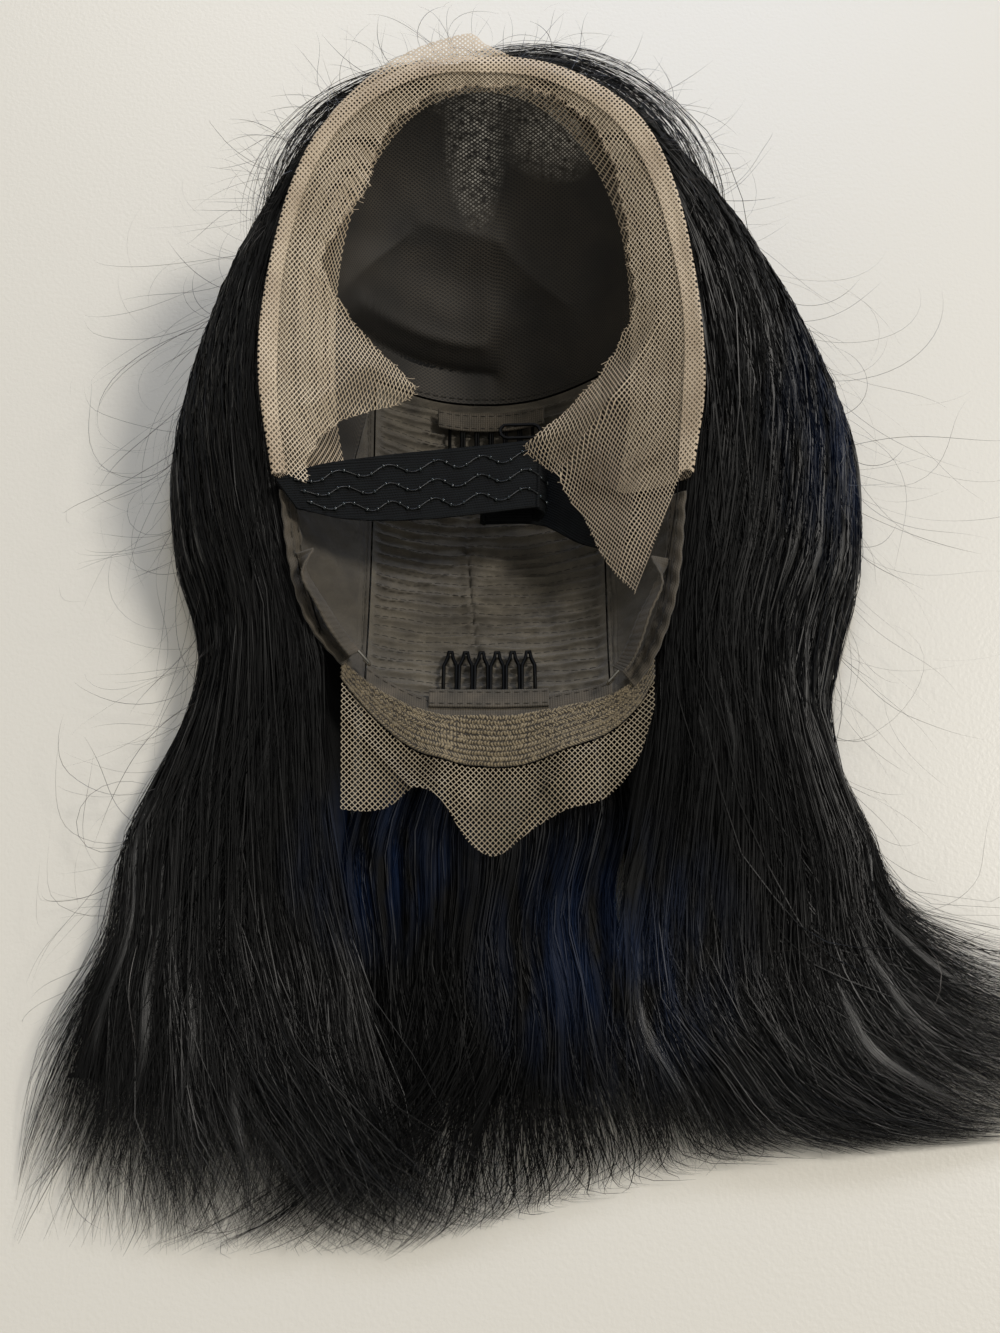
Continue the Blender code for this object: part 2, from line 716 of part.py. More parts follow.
def band_hook(finish, collection):
    """The wire ring that holds the band's doubled end, just off its upper edge."""
    edge = BAND_ROLL_Y + BAND_WIDTH / 2
    reach = (HOOK_WIDTH + HOOK_WIRE) / 2 + SEAM_GAP
    centre = Vector((BAND_ROLL_X - 0.004, edge + reach, BAND_ROLL_TOP + 0.0004))
    points = oval(centre, Vector((1, 0, 0)), Vector((0, 1, 0)), HOOK_LENGTH, HOOK_WIDTH, 12)
    return wire("band_hook", points, HOOK_WIRE, finish, collection, closed=True)


def strap_stations(side):
    """An adjuster strap from the ear to the nape's corner: centres, and the way its width stands."""
    centres, ways = [], []
    for share, inset in ((0.0, 0.0), (0.22, 0.9), (0.45, 1.15), (0.68, 1.1), (0.86, 1.0), (1.0, 0.95)):
        turn = side * mix(STRAP_START, NAPE_TURN + 1, share)
        inwards, _ = rim_axes(turn)
        if share == 0.0:
            sewn = (turn, (EDGE_TAPE_SHARE + 1) / 2, FABRIC + 3 * SEAM_GAP + STRAP_WIDTH / 2)
            centres.append(rim_point(*sewn))
            ways.append(cap_normal(*cap_plan(turn, sewn[1])))
            continue
        lift = Vector((0, 0, STRAP_WIDTH * mix(0.35, 0.62, share)))
        centres.append(rim_point(turn) + inwards * STRAP_INSET * inset + lift)
        ways.append((Vector((0, 0, 1)) + inwards * mix(-0.2, -0.9, share)).normalized())
    return curve_through(centres, STRAP_STATIONS), curve_through(ways, STRAP_STATIONS)


def strap(name, side, finish, collection):
    """A strap on edge: sewn upright to the edge tape, then leaning out over the nape's corner."""
    centres, ways = strap_stations(side)
    widths = [way.normalized() * STRAP_WIDTH / 2 for way in ways]
    return ribbon(name, centres, widths, STRAP_THICKNESS, finish, collection)


def strap_hook(name, side, finish, collection):
    """The small hook at a strap's lower end, in line with the strap."""
    line, _ = strap_stations(side)
    ahead = (line[-1] - line[-2]).normalized()
    upright = Vector((0, 0, 1))
    start = line[-1] + ahead * (STRAP_HOOK_WIRE / 2 + SEAM_GAP)
    radius = 0.0017
    points = [start + upright * 0.0016, start + ahead * STRAP_HOOK_LENGTH * 0.6 + upright * 0.0016]
    for step in range(1, 6):
        angle = pi / 2 - pi * step / 5
        middle = start + ahead * STRAP_HOOK_LENGTH * 0.6
        points.append(middle + ahead * radius * cos(angle) + upright * radius * sin(angle))
    points.append(start + ahead * STRAP_HOOK_LENGTH * 0.35 - upright * radius)
    return wire(name, points, STRAP_HOOK_WIRE, finish, collection)


# Hair

def drape_plan(turn, lane):
    """The place in plan a share of the drape's width outside the rim."""
    x, y = cap_plan(turn, 1.0)
    out = rim_axes(turn)[0] * (-lane * DRAPE_WIDTH * station(turn, "drape"))
    return x + out.x, y + out.y


def drape_height(turn, lane):
    """The hair's top over a place beside the cap."""
    top = rim_height(turn) - HAIR_BELOW_RIM
    return HAIR_FOOT + (top - HAIR_FOOT) * max(cos(min(lane, 1.0) * pi / 2), 0.0) ** 0.8


def tail_height(along):
    """The hair's top at a share of the tail's length past the nape."""
    return mix(TAIL_THICKNESS, TIP_THICKNESS, min(max(along, 0.0), 1.0) ** 0.8)


def tail_place(across, along, height):
    """A place past the nape, from shares of the spread and of the tail's length."""
    spread = SPREAD_RIGHT if across >= 0 else SPREAD_LEFT
    return Vector((spread * across, nape_y(0.0) - TAIL_LENGTH * along, height))


def side_lock_path(row, side):
    """A side lock's line: from the parting round the rim in its lane, then out along the table."""
    first = PARTING_TURN + side * 0.4
    points = []
    for share in (0.0, 0.14, 0.30, 0.48, 0.66, 0.84, 1.0):
        turn = mix(first, side * LEAVE_TURN, share)
        points.append(Vector((*drape_plan(turn, row.lane), drape_height(turn, row.lane))))
    crown = 1 - 0.5 * row.lane**4
    points.append(tail_place(row.bend_x, row.bend_y, crown * tail_height(row.bend_y)))
    points.append(tail_place(row.tip_x, row.tip_y, TIP_THICKNESS))
    return curve_through(points, HAIR_SECTIONS)


def side_keel_path(side, tip_along):
    """The inner edge of the hair beside the cap: under the bowl, then along the nape hair."""
    first = PARTING_TURN + side * 0.4
    inner_x = NAPE_HAIR_RIGHT + SEAM_GAP if side > 0 else NAPE_HAIR_LEFT - SEAM_GAP
    round_share = 6 / 8
    points = []
    for i in range(HAIR_SECTIONS):
        share = i / (HAIR_SECTIONS - 1)
        if share <= round_share:
            turn = mix(first, side * LEAVE_TURN, share / round_share)
            x, y = cap_plan(turn, smooth(KEEL, "turn", "share", abs(turn)))
            points.append(Vector((x, y, rim_height(turn) - HAIR_BELOW_RIM)))
        else:
            along = (share - round_share) / (1 - round_share)
            y = mix(cap_plan(side * LEAVE_TURN, 1.0)[1], nape_y(0.0) - TAIL_LENGTH * tip_along, along)
            height = mix(rim_height(LEAVE_TURN) - HAIR_BELOW_RIM, TIP_THICKNESS, along**0.5)
            points.append(Vector((inner_x, y, min(height, tail_height(along) * 1.1))))
    return points


def nape_lock_path(row):
    """A nape lock's line: out from under the bowl and along the table."""
    top_x = mix(-0.022, 0.024, row.lane)
    wide_x = mix(NAPE_HAIR_LEFT, NAPE_HAIR_RIGHT, row.lane)
    height = 0.72 * TAIL_THICKNESS
    points = [
        Vector((top_x, -0.004, height)),
        Vector((wide_x, -0.040, height)),
        Vector((wide_x, -0.072, height)),
        Vector((wide_x, nape_y(0.0), height)),
        tail_place(row.bend_x, row.bend_y, 0.72 * tail_height(row.bend_y)),
        tail_place(row.tip_x, row.tip_y, TIP_THICKNESS),
    ]
    return curve_through(points, HAIR_SECTIONS - 4)


def ridged(paths):
    """The lock paths with a lower and shorter path in every hollow between two of them."""
    columns = [paths[0]]
    for near, far in zip(paths, paths[1:]):
        hollow = [mix(a, b, 0.5) for a, b in zip(near, far)]
        for i, point in enumerate(hollow):
            wave = 0.7 + 0.3 * sin(0.9 * i + 2.0 * len(columns))
            point.z -= min(LOCK_RIDGE * wave, 0.45 * point.z)
        back = (hollow[-1] - hollow[-2]).normalized()
        hollow[-1] = hollow[-1] - back * min(TIP_NOTCH, 0.7 * (hollow[-1] - hollow[-2]).length)
        columns += [hollow, far]
    return columns


def hair_body(name, columns, finish, collection):
    """A body of hair: a ridged top lofted through its columns, flat where it lies on the table."""
    rows = len(columns[0])

    def place(across, up):
        column = columns[round(across * (len(columns) - 1))]
        return column[round((1 - up) * (rows - 1))]

    bm = grid(len(columns) - 1, rows - 1, place)
    made = bmesh.ops.extrude_face_region(bm, geom=list(bm.faces))["geom"]
    for vertex in (item for item in made if isinstance(item, bmesh.types.BMVert)):
        vertex.co.z = 0.0
    bmesh.ops.recalc_face_normals(bm, faces=bm.faces)
    return object_of(name, bm, finish, collection)


def raised(bm, name, collection):
    """A cutter: all that lies over an open sheet."""
    made = bmesh.ops.extrude_face_region(bm, geom=list(bm.faces))["geom"]
    for vertex in (item for item in made if isinstance(item, bmesh.types.BMVert)):
        vertex.co.z = ABOVE_ALL
    bmesh.ops.recalc_face_normals(bm, faces=bm.faces)
    return hide(object_of(name, bm, None, collection))


def bowl_cutter(collection):
    """All that lies over the cap's outer face, out to its rim."""
    away = FABRIC + HAIR_CLEARANCE + FOLD_LIFT / 3

    def place(across, up):
        x, y = 2 * across - 1, 2 * up - 1
        radius = max(abs(x), abs(y))
        turn = atan2(x, y) * HALF_TURN / pi
        share = 1 - (1 - radius) ** 1.4
        if radius > 0.999:
            plan = Vector(cap_plan(turn, 1.0)) - Vector(rim_axes(turn)[0][:2]) * (FOLD_LIFT + away)
            return Vector((*plan, rim_height(turn) - HAIR_BELOW_RIM))
        return cap_point(*cap_plan(turn, share), -away)

    return raised(grid(26, 26, place), "bowl_cutter", collection)


def apron_cutter(collection):
    """All that lies over the nape's trim and lace."""
    depth = TRIM_WIDTH + 1.25 * NAPE_LACE_DEPTH

    def place(across, up):
        side = 0.006
        x_share = mix(-0.05, 1.05, across)
        point = apron_point(min(max(x_share, 0.0), 1.0), mix(depth, -side, up))
        point.x += (NAPE_RIGHT - NAPE_LEFT) * (x_share - min(max(x_share, 0.0), 1.0))
        point.z -= LACE + HAIR_CLEARANCE + 0.003
        return point

    return raised(grid(10, 4, place), "apron_cutter", collection)


def foot_path(path, reach):
    """The hair's outer edge: just beyond the outermost lock, low on the table."""
    found = []
    for i, point in enumerate(path):
        ahead = path[min(i + 1, len(path) - 1)] - path[max(i - 1, 0)]
        out = Vector((-ahead.y, ahead.x, 0)).normalized() * reach
        found.append(Vector((point.x + out.x, point.y + out.y, 0.3 * HAIR_FOOT)))
    return found


def hair(finish, collection, cutters):
    """The three bodies of hair, cut clear of the cap, the nape trim and the nape lace."""
    trims = [bowl_cutter(cutters), apron_cutter(cutters)]
    left = [side_lock_path(row, -1) for row in LEFT_LOCKS]
    right = [side_lock_path(row, 1) for row in RIGHT_LOCKS]
    nape = [nape_lock_path(row) for row in NAPE_LOCKS]
    edge = (NAPE_HAIR_RIGHT - NAPE_HAIR_LEFT) * 0.07
    left_keel = side_keel_path(-1, LEFT_LOCKS[0].tip_y - 0.05)
    right_keel = side_keel_path(1, RIGHT_LOCKS[0].tip_y - 0.05)
    left_columns = [foot_path(left[-1], -HAIR_FOOT)] + ridged(left)[::-1] + [left_keel]
    right_columns = [right_keel] + ridged(right) + [foot_path(right[-1], HAIR_FOOT)]
    nape_left = [Vector((point.x - edge, point.y, point.z - LOCK_RIDGE / 2)) for point in nape[0]]
    nape_right = [Vector((point.x + edge, point.y, point.z - LOCK_RIDGE / 2)) for point in nape[-1]]
    nape_columns = [nape_left] + ridged(nape) + [nape_right]
    for point in nape_left:
        point.x = max(point.x, NAPE_HAIR_LEFT)
    for point in nape_right:
        point.x = min(point.x, NAPE_HAIR_RIGHT)
    for name, found in (("hair_left", left_columns), ("hair_right", right_columns), ("hair_nape", nape_columns)):
        body = hair_body(name, found, finish, collection)
        combine(body, trims, "DIFFERENCE")
        settle(body)


# The whole wig

def stand_on_origin(collection):
    """Hangs every piece on one empty, so that the origin is under the middle of the wig, on the table."""
    bpy.context.view_layer.update()
    graph = bpy.context.evaluated_depsgraph_get()
    low, high = Vector((1, 1, 1)), Vector((-1, -1, -1))
    for piece in collection.objects:
        for corner in piece.evaluated_get(graph).bound_box:
            low = Vector(map(min, low, corner))
            high = Vector(map(max, high, corner))
    base = bpy.data.objects.new("wig_base", None)
    bpy.context.scene.collection.objects.link(base)
    base.location = (-(low.x + high.x) / 2, -(low.y + high.y) / 2, -low.z)
    for piece in collection.objects:
        piece.parent = base


def main():
    for old in list(bpy.data.objects):
        bpy.data.objects.remove(old)
    wig = bpy.data.collections.new("lace_front_wig")
    cutters = bpy.data.collections.new("cutters")
    for made in (wig, cutters):
        bpy.context.scene.collection.children.link(made)

    net = material("ventilated net", NET_BROWN, 0.85)
    cap = material("cap cloth", CAP_BROWN, 0.80)
    tape = material("binding tape", TAPE_BROWN, 0.75)
    lace = material("bare lace", LACE_BEIGE, 0.80)
    band = material("elastic webbing", BAND_BLACK, 0.65)
    steel = material("coated wire", WIRE_BLACK, 0.35, 0.5)
    hair_finish = material("hair", HAIR_BLACK, 0.40)

    sheet("front_net", 20, 10, front_net_point, FABRIC, net, wig)
    sheet("back_panel", 8, 2 * WEFT_ROWS, back_panel_point, FABRIC, cap, wig)
    sheet("side_panel_left", 6, 8, side_panel_point(-1), FABRIC, cap, wig)
    sheet("side_panel_right", 6, 8, side_panel_point(1), FABRIC, cap, wig)
    sheet("edge_tape_left", 1, 9, edge_tape_point(-1), FABRIC, tape, wig)
    sheet("edge_tape_right", 1, 9, edge_tape_point(1), FABRIC, tape, wig)
    sheet("nape_tape", 10, 1, nape_tape_point, TAPE_THICKNESS, tape, wig)
    sheet("front_lace", 32, LACE_ROWS, front_lace_point, LACE, lace, wig)
    sheet("nape_trim", 16, 1, nape_trim_point, FABRIC, lace, wig)
    sheet("nape_lace", 16, 4, nape_lace_point, LACE, lace, wig)
    for name, x, y, direction in (
        ("crown_comb", CROWN_COMB_X, FRONTAL_SEAM_Y - CROWN_COMB_INSET, -1),
        ("nape_comb", NAPE_COMB_X, nape_y(NAPE_COMB_X) + NAPE_COMB_INSET, 1),
    ):
        comb(name, x, y, direction, steel, wig)
        comb_tape(name + "_tape", x, y, direction, tape, wig)
    elastic_band(band, wig)
    band_hook(steel, wig)
    for word, side in (("left", -1), ("right", 1)):
        strap("strap_" + word, side, tape, wig)
        strap_hook("strap_hook_" + word, side, steel, wig)
    hair(hair_finish, wig, cutters)
    stand_on_origin(wig)


main()
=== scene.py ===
import math

import bmesh
import bpy
import numpy as np
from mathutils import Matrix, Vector, noise


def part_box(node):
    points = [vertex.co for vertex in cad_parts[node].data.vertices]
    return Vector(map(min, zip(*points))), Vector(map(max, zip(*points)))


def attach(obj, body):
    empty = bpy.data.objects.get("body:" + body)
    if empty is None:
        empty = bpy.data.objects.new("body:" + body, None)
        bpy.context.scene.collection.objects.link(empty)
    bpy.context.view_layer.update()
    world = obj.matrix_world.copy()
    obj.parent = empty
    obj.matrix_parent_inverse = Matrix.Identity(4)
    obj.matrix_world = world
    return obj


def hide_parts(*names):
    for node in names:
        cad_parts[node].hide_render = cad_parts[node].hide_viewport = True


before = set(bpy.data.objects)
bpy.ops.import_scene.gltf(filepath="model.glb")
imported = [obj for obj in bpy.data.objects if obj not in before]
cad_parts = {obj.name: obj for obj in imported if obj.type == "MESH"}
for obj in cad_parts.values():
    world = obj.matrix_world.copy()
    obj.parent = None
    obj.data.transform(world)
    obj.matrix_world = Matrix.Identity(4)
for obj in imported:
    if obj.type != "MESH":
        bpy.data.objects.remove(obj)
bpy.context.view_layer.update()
dice = np.random.default_rng(20)
mm = 0.001


# the camera comes first: it looks down at the photograph's angle

cameraLook = {
    "elevation": 70.0, "distance": 0.560, "target": (0.0065, -0.0800, 0.0270),
    "focalPixels": 1523.0, "longSidePixels": 1333.0, "filmLength": 36.0,
}

# the cap's own frame: x 0 and y 0 lie under the bowl, z 0 is the table
combMiddleX, combTopY = 0.0030, 0.0264  # where the crown comb stands in that frame
combLow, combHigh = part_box("crown_comb")
shift = Vector(((combLow.x + combHigh.x) / 2 - combMiddleX, combHigh.y - combTopY, 0.0))


def makeCamera(look):
    tilt = math.radians(look["elevation"])
    aim = Vector(look["target"]) + shift
    away = Vector((0.0, -math.cos(tilt), math.sin(tilt))) * look["distance"]
    data = bpy.data.cameras.new("photoCamera")
    data.lens = look["focalPixels"] * look["filmLength"] / look["longSidePixels"]
    data.clip_start = 0.01
    camera = bpy.data.objects.new("photoCamera", data)
    camera.location = aim + away
    camera.rotation_euler = (math.pi / 2 - tilt, 0.0, 0.0)
    bpy.context.scene.collection.objects.link(camera)
    bpy.context.scene.camera = camera


makeCamera(cameraLook)
print("camera ready")


# the bowl: the same named sizes as the solids

bowl = {
    "halfWidth": 0.077, "halfLength": 0.112, "bottom": 0.0100, "rise": 0.102, "wallTurn": 72.0,
    "seamY": 0.036, "leftSeam": -0.042, "rightSeam": 0.046, "earTurn": 108.0, "napeTurn": 142.0,
    "foldLift": 0.0030, "flapReach": 0.060, "flapDrop": 0.040,
    "napeLeft": -0.050, "napeRight": 0.061, "trimWidth": 0.0145, "napeLaceDepth": 0.031, "apronFall": 0.30,
}
rimRows = {
    "turn": (0, 25, 45, 70, 90, 108, 130, 142, 160, 180),
    "reachRight": (1.00, 1.04, 1.08, 1.02, 1.00, 1.00, 1.13, 1.15, 1.04, 1.00),
    "reachLeft": (1.00, 1.03, 1.06, 1.02, 1.00, 0.99, 1.08, 1.06, 1.03, 1.00),
    "height": (1.00, 0.99, 0.94, 0.81, 0.70, 0.57, 0.42, 0.32, 0.25, 0.235),
    "steep": (0.80, 0.80, 0.70, 0.50, 0.35, 0.25, 0.12, 0.05, 0.00, 0.00),
    "hairline": (0.950, 0.935, 0.880, 0.790, 0.740, 0.720, 0.720, 0.720, 0.720, 0.720),
    "drapeRight": (0.26, 0.42, 0.60, 0.88, 1.00, 1.00, 0.90, 0.78, 0.50, 0.40),
    "drapeLeft": (0.24, 0.24, 0.36, 0.58, 0.63, 0.63, 0.60, 0.62, 0.50, 0.40),
}
foldRows = (  # x0, y0, x1, y1, width, height
    (-0.50, 0.40, 0.06, 0.36, 0.090, -0.020),
    (-0.54, 0.50, 0.02, 0.46, 0.120, 0.080),
    (-0.46, 0.62, -0.20, 0.74, 0.150, 0.055),
    (-0.20, 0.74, 0.38, 0.56, 0.150, 0.055),
    (-0.08, 0.90, -0.02, 0.76, 0.120, 0.030),
    (-0.07, -0.36, -0.04, -0.66, 0.030, 0.012),
)
laceRows = {
    "turn": (-107, -103, -98, -91, -83, -75, -69, -60, -48, -30, -12, 10, 28, 45, 62, 76, 84, 91, 96, 100, 103,
             105, 107),
    "inward": (0.12, 0.18, 0.34, 0.70, 0.80, 0.46, 0.24, 0.25, 0.32, 0.18, 0.12, 0.11, 0.12, 0.20, 0.27, 0.32, 0.54,
               0.90, 0.94, 0.70, 0.50, 0.34, 0.20),
    "nape": (0.06, 0.00, -0.03, -0.03, 0.03, 0.03, -0.02, 0.00, 0.00, 0.00, 0.00, 0.00, 0.00, 0.00, 0.00, 0.00, 0.02,
             0.14, 0.12, 0.18, 0.34, 0.54, 0.62),
    "drop": (0.06, 0.12, 0.26, 0.60, 0.60, 0.34, 0.12, 0.14, 0.22, 0.16, 0.10, 0.09, 0.10, 0.14, 0.14, 0.20, 0.48,
             0.76, 0.80, 0.72, 0.66, 0.62, 0.56),
}
apronRows = {
    "across": (0.00, 0.14, 0.24, 0.32, 0.41, 0.49, 0.62, 0.72, 0.85, 0.95, 1.00),
    "trim": (0.30, 0.62, 0.82, 0.92, 0.98, 1.00, 0.98, 0.90, 0.70, 0.52, 0.40),
    "hang": (1.42, 0.86, 0.42, 0.45, 0.84, 0.97, 0.72, 0.66, 0.68, 0.56, 0.30),
    "lift": (0.10, -0.05, 0.00, 0.20, -0.02, -0.06, 0.00, 0.22, 0.02, 0.08, 0.14),
}


def mix(low, high, share):
    return low + (high - low) * share


def tableCurve(rows, key, column, at):
    # a smooth curve through a table's rows, for one place or an array of them
    keys = np.array(rows[key], float)
    values = np.array(rows[column], float)
    place = np.clip(at, keys[0], keys[-1])
    i = np.clip(np.searchsorted(keys, place, side="left") - 1, 0, len(keys) - 2)
    low = np.maximum(np.arange(len(keys)) - 1, 0)
    high = np.minimum(np.arange(len(keys)) + 1, len(keys) - 1)
    slopes = (values[high] - values[low]) / (keys[high] - keys[low])
    span = keys[i + 1] - keys[i]
    f = (place - keys[i]) / span
    bend = f * (1 - f) * ((1 - f) * slopes[i] - f * slopes[i + 1]) * span
    return mix(values[i], values[i + 1], f * f * (3 - 2 * f)) + bend


def station(turn, column):
    turn = np.asarray(turn, float)
    if column in ("reach", "drape"):
        right = tableCurve(rimRows, "turn", column + "Right", np.abs(turn))
        return np.where(turn >= 0, right, tableCurve(rimRows, "turn", column + "Left", np.abs(turn)))
    return tableCurve(rimRows, "turn", column, np.abs(turn))


centreY = 0.07 * bowl["halfLength"]


def unit(vectors, least=0.0):
    return vectors / (np.linalg.norm(vectors, axis=-1, keepdims=True) + least)


def lengthAlong(places, axis=0):
    # how far along its line each point lies
    steps = np.cumsum(np.linalg.norm(np.diff(places, axis=axis), axis=-1), axis=axis)
    return np.concatenate((np.zeros_like(steps.take([0], axis)), steps), axis=axis)


def awayFromLine(x, y, ends):
    # the distance from a line's nearest point
    x0, y0, x1, y1 = ends
    dx, dy = x1 - x0, y1 - y0
    f = np.clip(((x - x0) * dx + (y - y0) * dy) / (dx * dx + dy * dy), 0, 1)
    return np.hypot(x - x0 - dx * f, y - y0 - dy * f)


def capPlan(turn, share):
    reach = station(turn, "reach") * share
    angle = np.radians(turn)
    return reach * bowl["halfWidth"] * np.sin(angle), centreY + reach * bowl["halfLength"] * np.cos(angle)


def capShares(x, y):
    # places in half sizes of the bowl, the turn round it and the share of the way out to the rim
    across, along = x / bowl["halfWidth"], (y - centreY) / bowl["halfLength"]
    turn = np.degrees(np.arctan2(across, along))
    return across, along, turn, np.hypot(across, along) / station(turn, "reach")


def rimHeight(turn):
    return bowl["bottom"] + bowl["rise"] * station(turn, "height")


def capHeight(x, y):
    across, along, turn, share = capShares(x, y)
    share = np.minimum(share, 1.0)
    wallTurn = math.radians(bowl["wallTurn"])
    roundWall = (1 - np.sqrt(1 - (math.sin(wallTurn) * share) ** 2)) / (1 - math.cos(wallTurn))
    rise = (rimHeight(turn) - bowl["bottom"]) * mix(share**2, roundWall, station(turn, "steep"))
    lift = 0.0
    for *ends, width, height in foldRows:
        lift = lift + bowl["rise"] * height * np.exp(-((awayFromLine(across, along, ends) / width) ** 2))
    return bowl["bottom"] + rise + lift * (1 - share**4)


def capPoint(x, y, lift=0.0):
    # points on the bowl's inner face, lifted off it along its normal; returns an array of xyz
    x, y = np.broadcast_arrays(np.asarray(x, float), np.asarray(y, float))
    step = 0.0005
    slopeX = (capHeight(x + step, y) - capHeight(x - step, y)) / (2 * step)
    slopeY = (capHeight(x, y + step) - capHeight(x, y - step)) / (2 * step)
    normal = unit(np.stack((-slopeX, -slopeY, np.ones_like(slopeX)), -1))
    return np.stack((x, y, capHeight(x, y)), -1) + normal * np.asarray(lift)[..., None]


def rimPoint(turn, share=1.0, lift=0.0):
    return capPoint(*capPlan(turn, share), lift)


def rimAxes(turn):
    # level directions at the rim: inwards, and along it towards the nape
    near = 1.5  # degrees
    x0, y0 = capPlan(turn - near, 1.0)
    x1, y1 = capPlan(turn + near, 1.0)
    side = np.where(np.asarray(turn) >= 0, 1.0, -1.0)
    level = np.zeros_like(side * x0)
    along = unit(np.stack((x1 - x0, y1 - y0, level), -1)) * side[..., None]
    inwards = np.stack((along[..., 1] * side, -along[..., 0] * side, level), -1)
    return inwards, along


def curveThrough(points, at):
    # a smooth curve through points[k], for places at from 0 to the last k
    last = len(points) - 1
    i = np.clip(np.floor(at).astype(int), 0, last - 1)
    f = (at - i)[..., None]
    lines = (np.arange(points.shape[1]),) if points.ndim == 3 else ()  # a line of points, or one line a column
    before, start, end, after = (points[(np.clip(i + step, 0, last), *lines)] for step in (-1, 0, 1, 2))
    return 0.5 * (2 * start + (end - before) * f + (2 * before - 5 * start + 4 * end - after) * f**2
                  + (3 * start - before - 3 * end + after) * f**3)


def curveRows(points, ats):
    return np.stack([curveThrough(points, np.full(points.shape[1], at)) for at in ats])


def napeY(x):
    # where the rim runs at the nape, found by halving from beyond it to the bowl's middle
    low, high = np.full_like(np.asarray(x, float), -0.146), np.zeros_like(np.asarray(x, float))
    for _ in range(30):
        middle = (low + high) / 2
        inside = capShares(x, middle)[3] <= 1.0
        low, high = np.where(inside, low, middle), np.where(inside, middle, high)
    return (low + high) / 2


def softNoise(points, size, seed=0.0):
    # smooth noise from -1 to 1 with features about size metres across
    offset = Vector((seed, seed * 1.7, 0.3))
    values = [noise.noise(Vector(point) / size + offset) for point in points.reshape(-1, 3)]
    return np.array(values).reshape(points.shape[:-1])


def fadeIn(across, up, wide, tall):
    # 0 at a sheet's four edges, 1 further in
    return np.clip(np.minimum(np.minimum(up, 1 - up) / tall, np.minimum(across, 1 - across) / wide), 0.0, 1.0)


# helpers that turn places into meshes

def finishPiece(name, mesh, material, nodes=(), smooth=True):
    piece = bpy.data.objects.new(name, mesh)
    mesh.materials.clear()
    mesh.materials.append(material)
    bpy.context.scene.collection.objects.link(piece)
    if smooth:
        mesh.shade_smooth()
    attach(piece, "root")
    if nodes:
        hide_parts(*nodes)
    return piece


def meshFrom(bm, name):
    mesh = bpy.data.meshes.new(name)
    bm.to_mesh(mesh)
    bm.free()
    return mesh


def mergedCopy(node):
    # a solid's form with its doubled corners made one
    bm = bmesh.new()
    bm.from_mesh(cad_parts[node].data)
    bmesh.ops.remove_doubles(bm, verts=bm.verts, dist=0.00002)
    return bm


def sheetMesh(name, places, sizes=None):
    # a grid of cloth: places[row, column] are xyz, and the UV map holds millimetres along the cloth
    rows, columns = places.shape[:2]
    if sizes is None:
        u = lengthAlong(places, 1)
        sizes = np.stack((u - u[:, columns // 2][:, None], lengthAlong(places)), -1) / mm
    bm = bmesh.new()
    bmesh.ops.create_grid(bm, x_segments=columns - 1, y_segments=rows - 1, size=1.0)
    uvLayer = bm.loops.layers.uv.new("clothMm")
    bm.verts.ensure_lookup_table()
    where = {}
    for vertex in bm.verts:
        column = round((vertex.co.x + 1) / 2 * (columns - 1))
        row = round((vertex.co.y + 1) / 2 * (rows - 1))
        where[vertex] = sizes[row, column]
        vertex.co = Vector(places[row, column]) + shift
    for face in bm.faces:
        for loop in face.loops:
            loop[uvLayer].uv = where[loop.vert]
    return meshFrom(bm, name)


def clothPiece(name, places, material, nodes=(), sizes=None):
    return finishPiece(name, sheetMesh(name, places, sizes), material, nodes)


def clothWall(piece, thickness):
    wall = piece.modifiers.new("clothWall", "SOLIDIFY")
    wall.thickness = thickness
    wall.offset = -1.0


def threadMesh(name, paths, radius, resolution=0, ribbon=False, radii=None, tilts=None):
    # thin threads, wires or strands through lists of points, drawn as curves and made one mesh
    curve = bpy.data.curves.new(name, "CURVE")
    curve.dimensions = "3D"
    curve.twist_mode = "Z_UP"
    curve.use_fill_caps = True
    if ribbon:
        curve.extrude = radius
    else:
        curve.bevel_depth = radius
        curve.bevel_resolution = resolution
    for index, path in enumerate(paths):
        spline = curve.splines.new("POLY")
        count = len(path)
        spline.points.add(count - 1)
        flat = np.ones((count, 4), np.float32)
        flat[:, :3] = np.asarray(path) + np.array(shift)
        spline.points.foreach_set("co", flat.ravel())
        if radii is not None:
            spline.points.foreach_set("radius", np.asarray(radii[index], np.float32))
        if tilts is not None:
            spline.points.foreach_set("tilt", np.asarray(tilts[index], np.float32))
    drawn = bpy.data.objects.new(name + "Line", curve)
    bpy.context.scene.collection.objects.link(drawn)
    drawnReady = drawn.evaluated_get(bpy.context.evaluated_depsgraph_get())
    mesh = bpy.data.meshes.new_from_object(drawnReady)
    bpy.data.objects.remove(drawn)
    mesh.name = name
    return mesh


# materials

def hexColour(code):
    channels = [int(code[i:i + 2], 16) / 255 for i in (1, 3, 5)]
    return (*[c / 12.92 if c <= 0.04045 else ((c + 0.055) / 1.055) ** 2.4 for c in channels], 1.0)


def setInputs(tree, node, inputs):
    # each input gets a fixed value or the socket of another node
    for key, value in inputs.items():
        if isinstance(value, bpy.types.NodeSocket):
            tree.links.new(value, node.inputs[key])
        else:
            node.inputs[key].default_value = value


def addNode(tree, kind, inputs, output=0, **settings):
    node = tree.nodes.new("ShaderNode" + kind)
    for key, value in settings.items():
        setattr(node, key, value)
    setInputs(tree, node, inputs)
    return node.outputs[output]


def newMaterial(name):
    material = bpy.data.materials.new(name)
    material.use_nodes = True
    return material, material.node_tree, material.node_tree.nodes["Principled BSDF"]


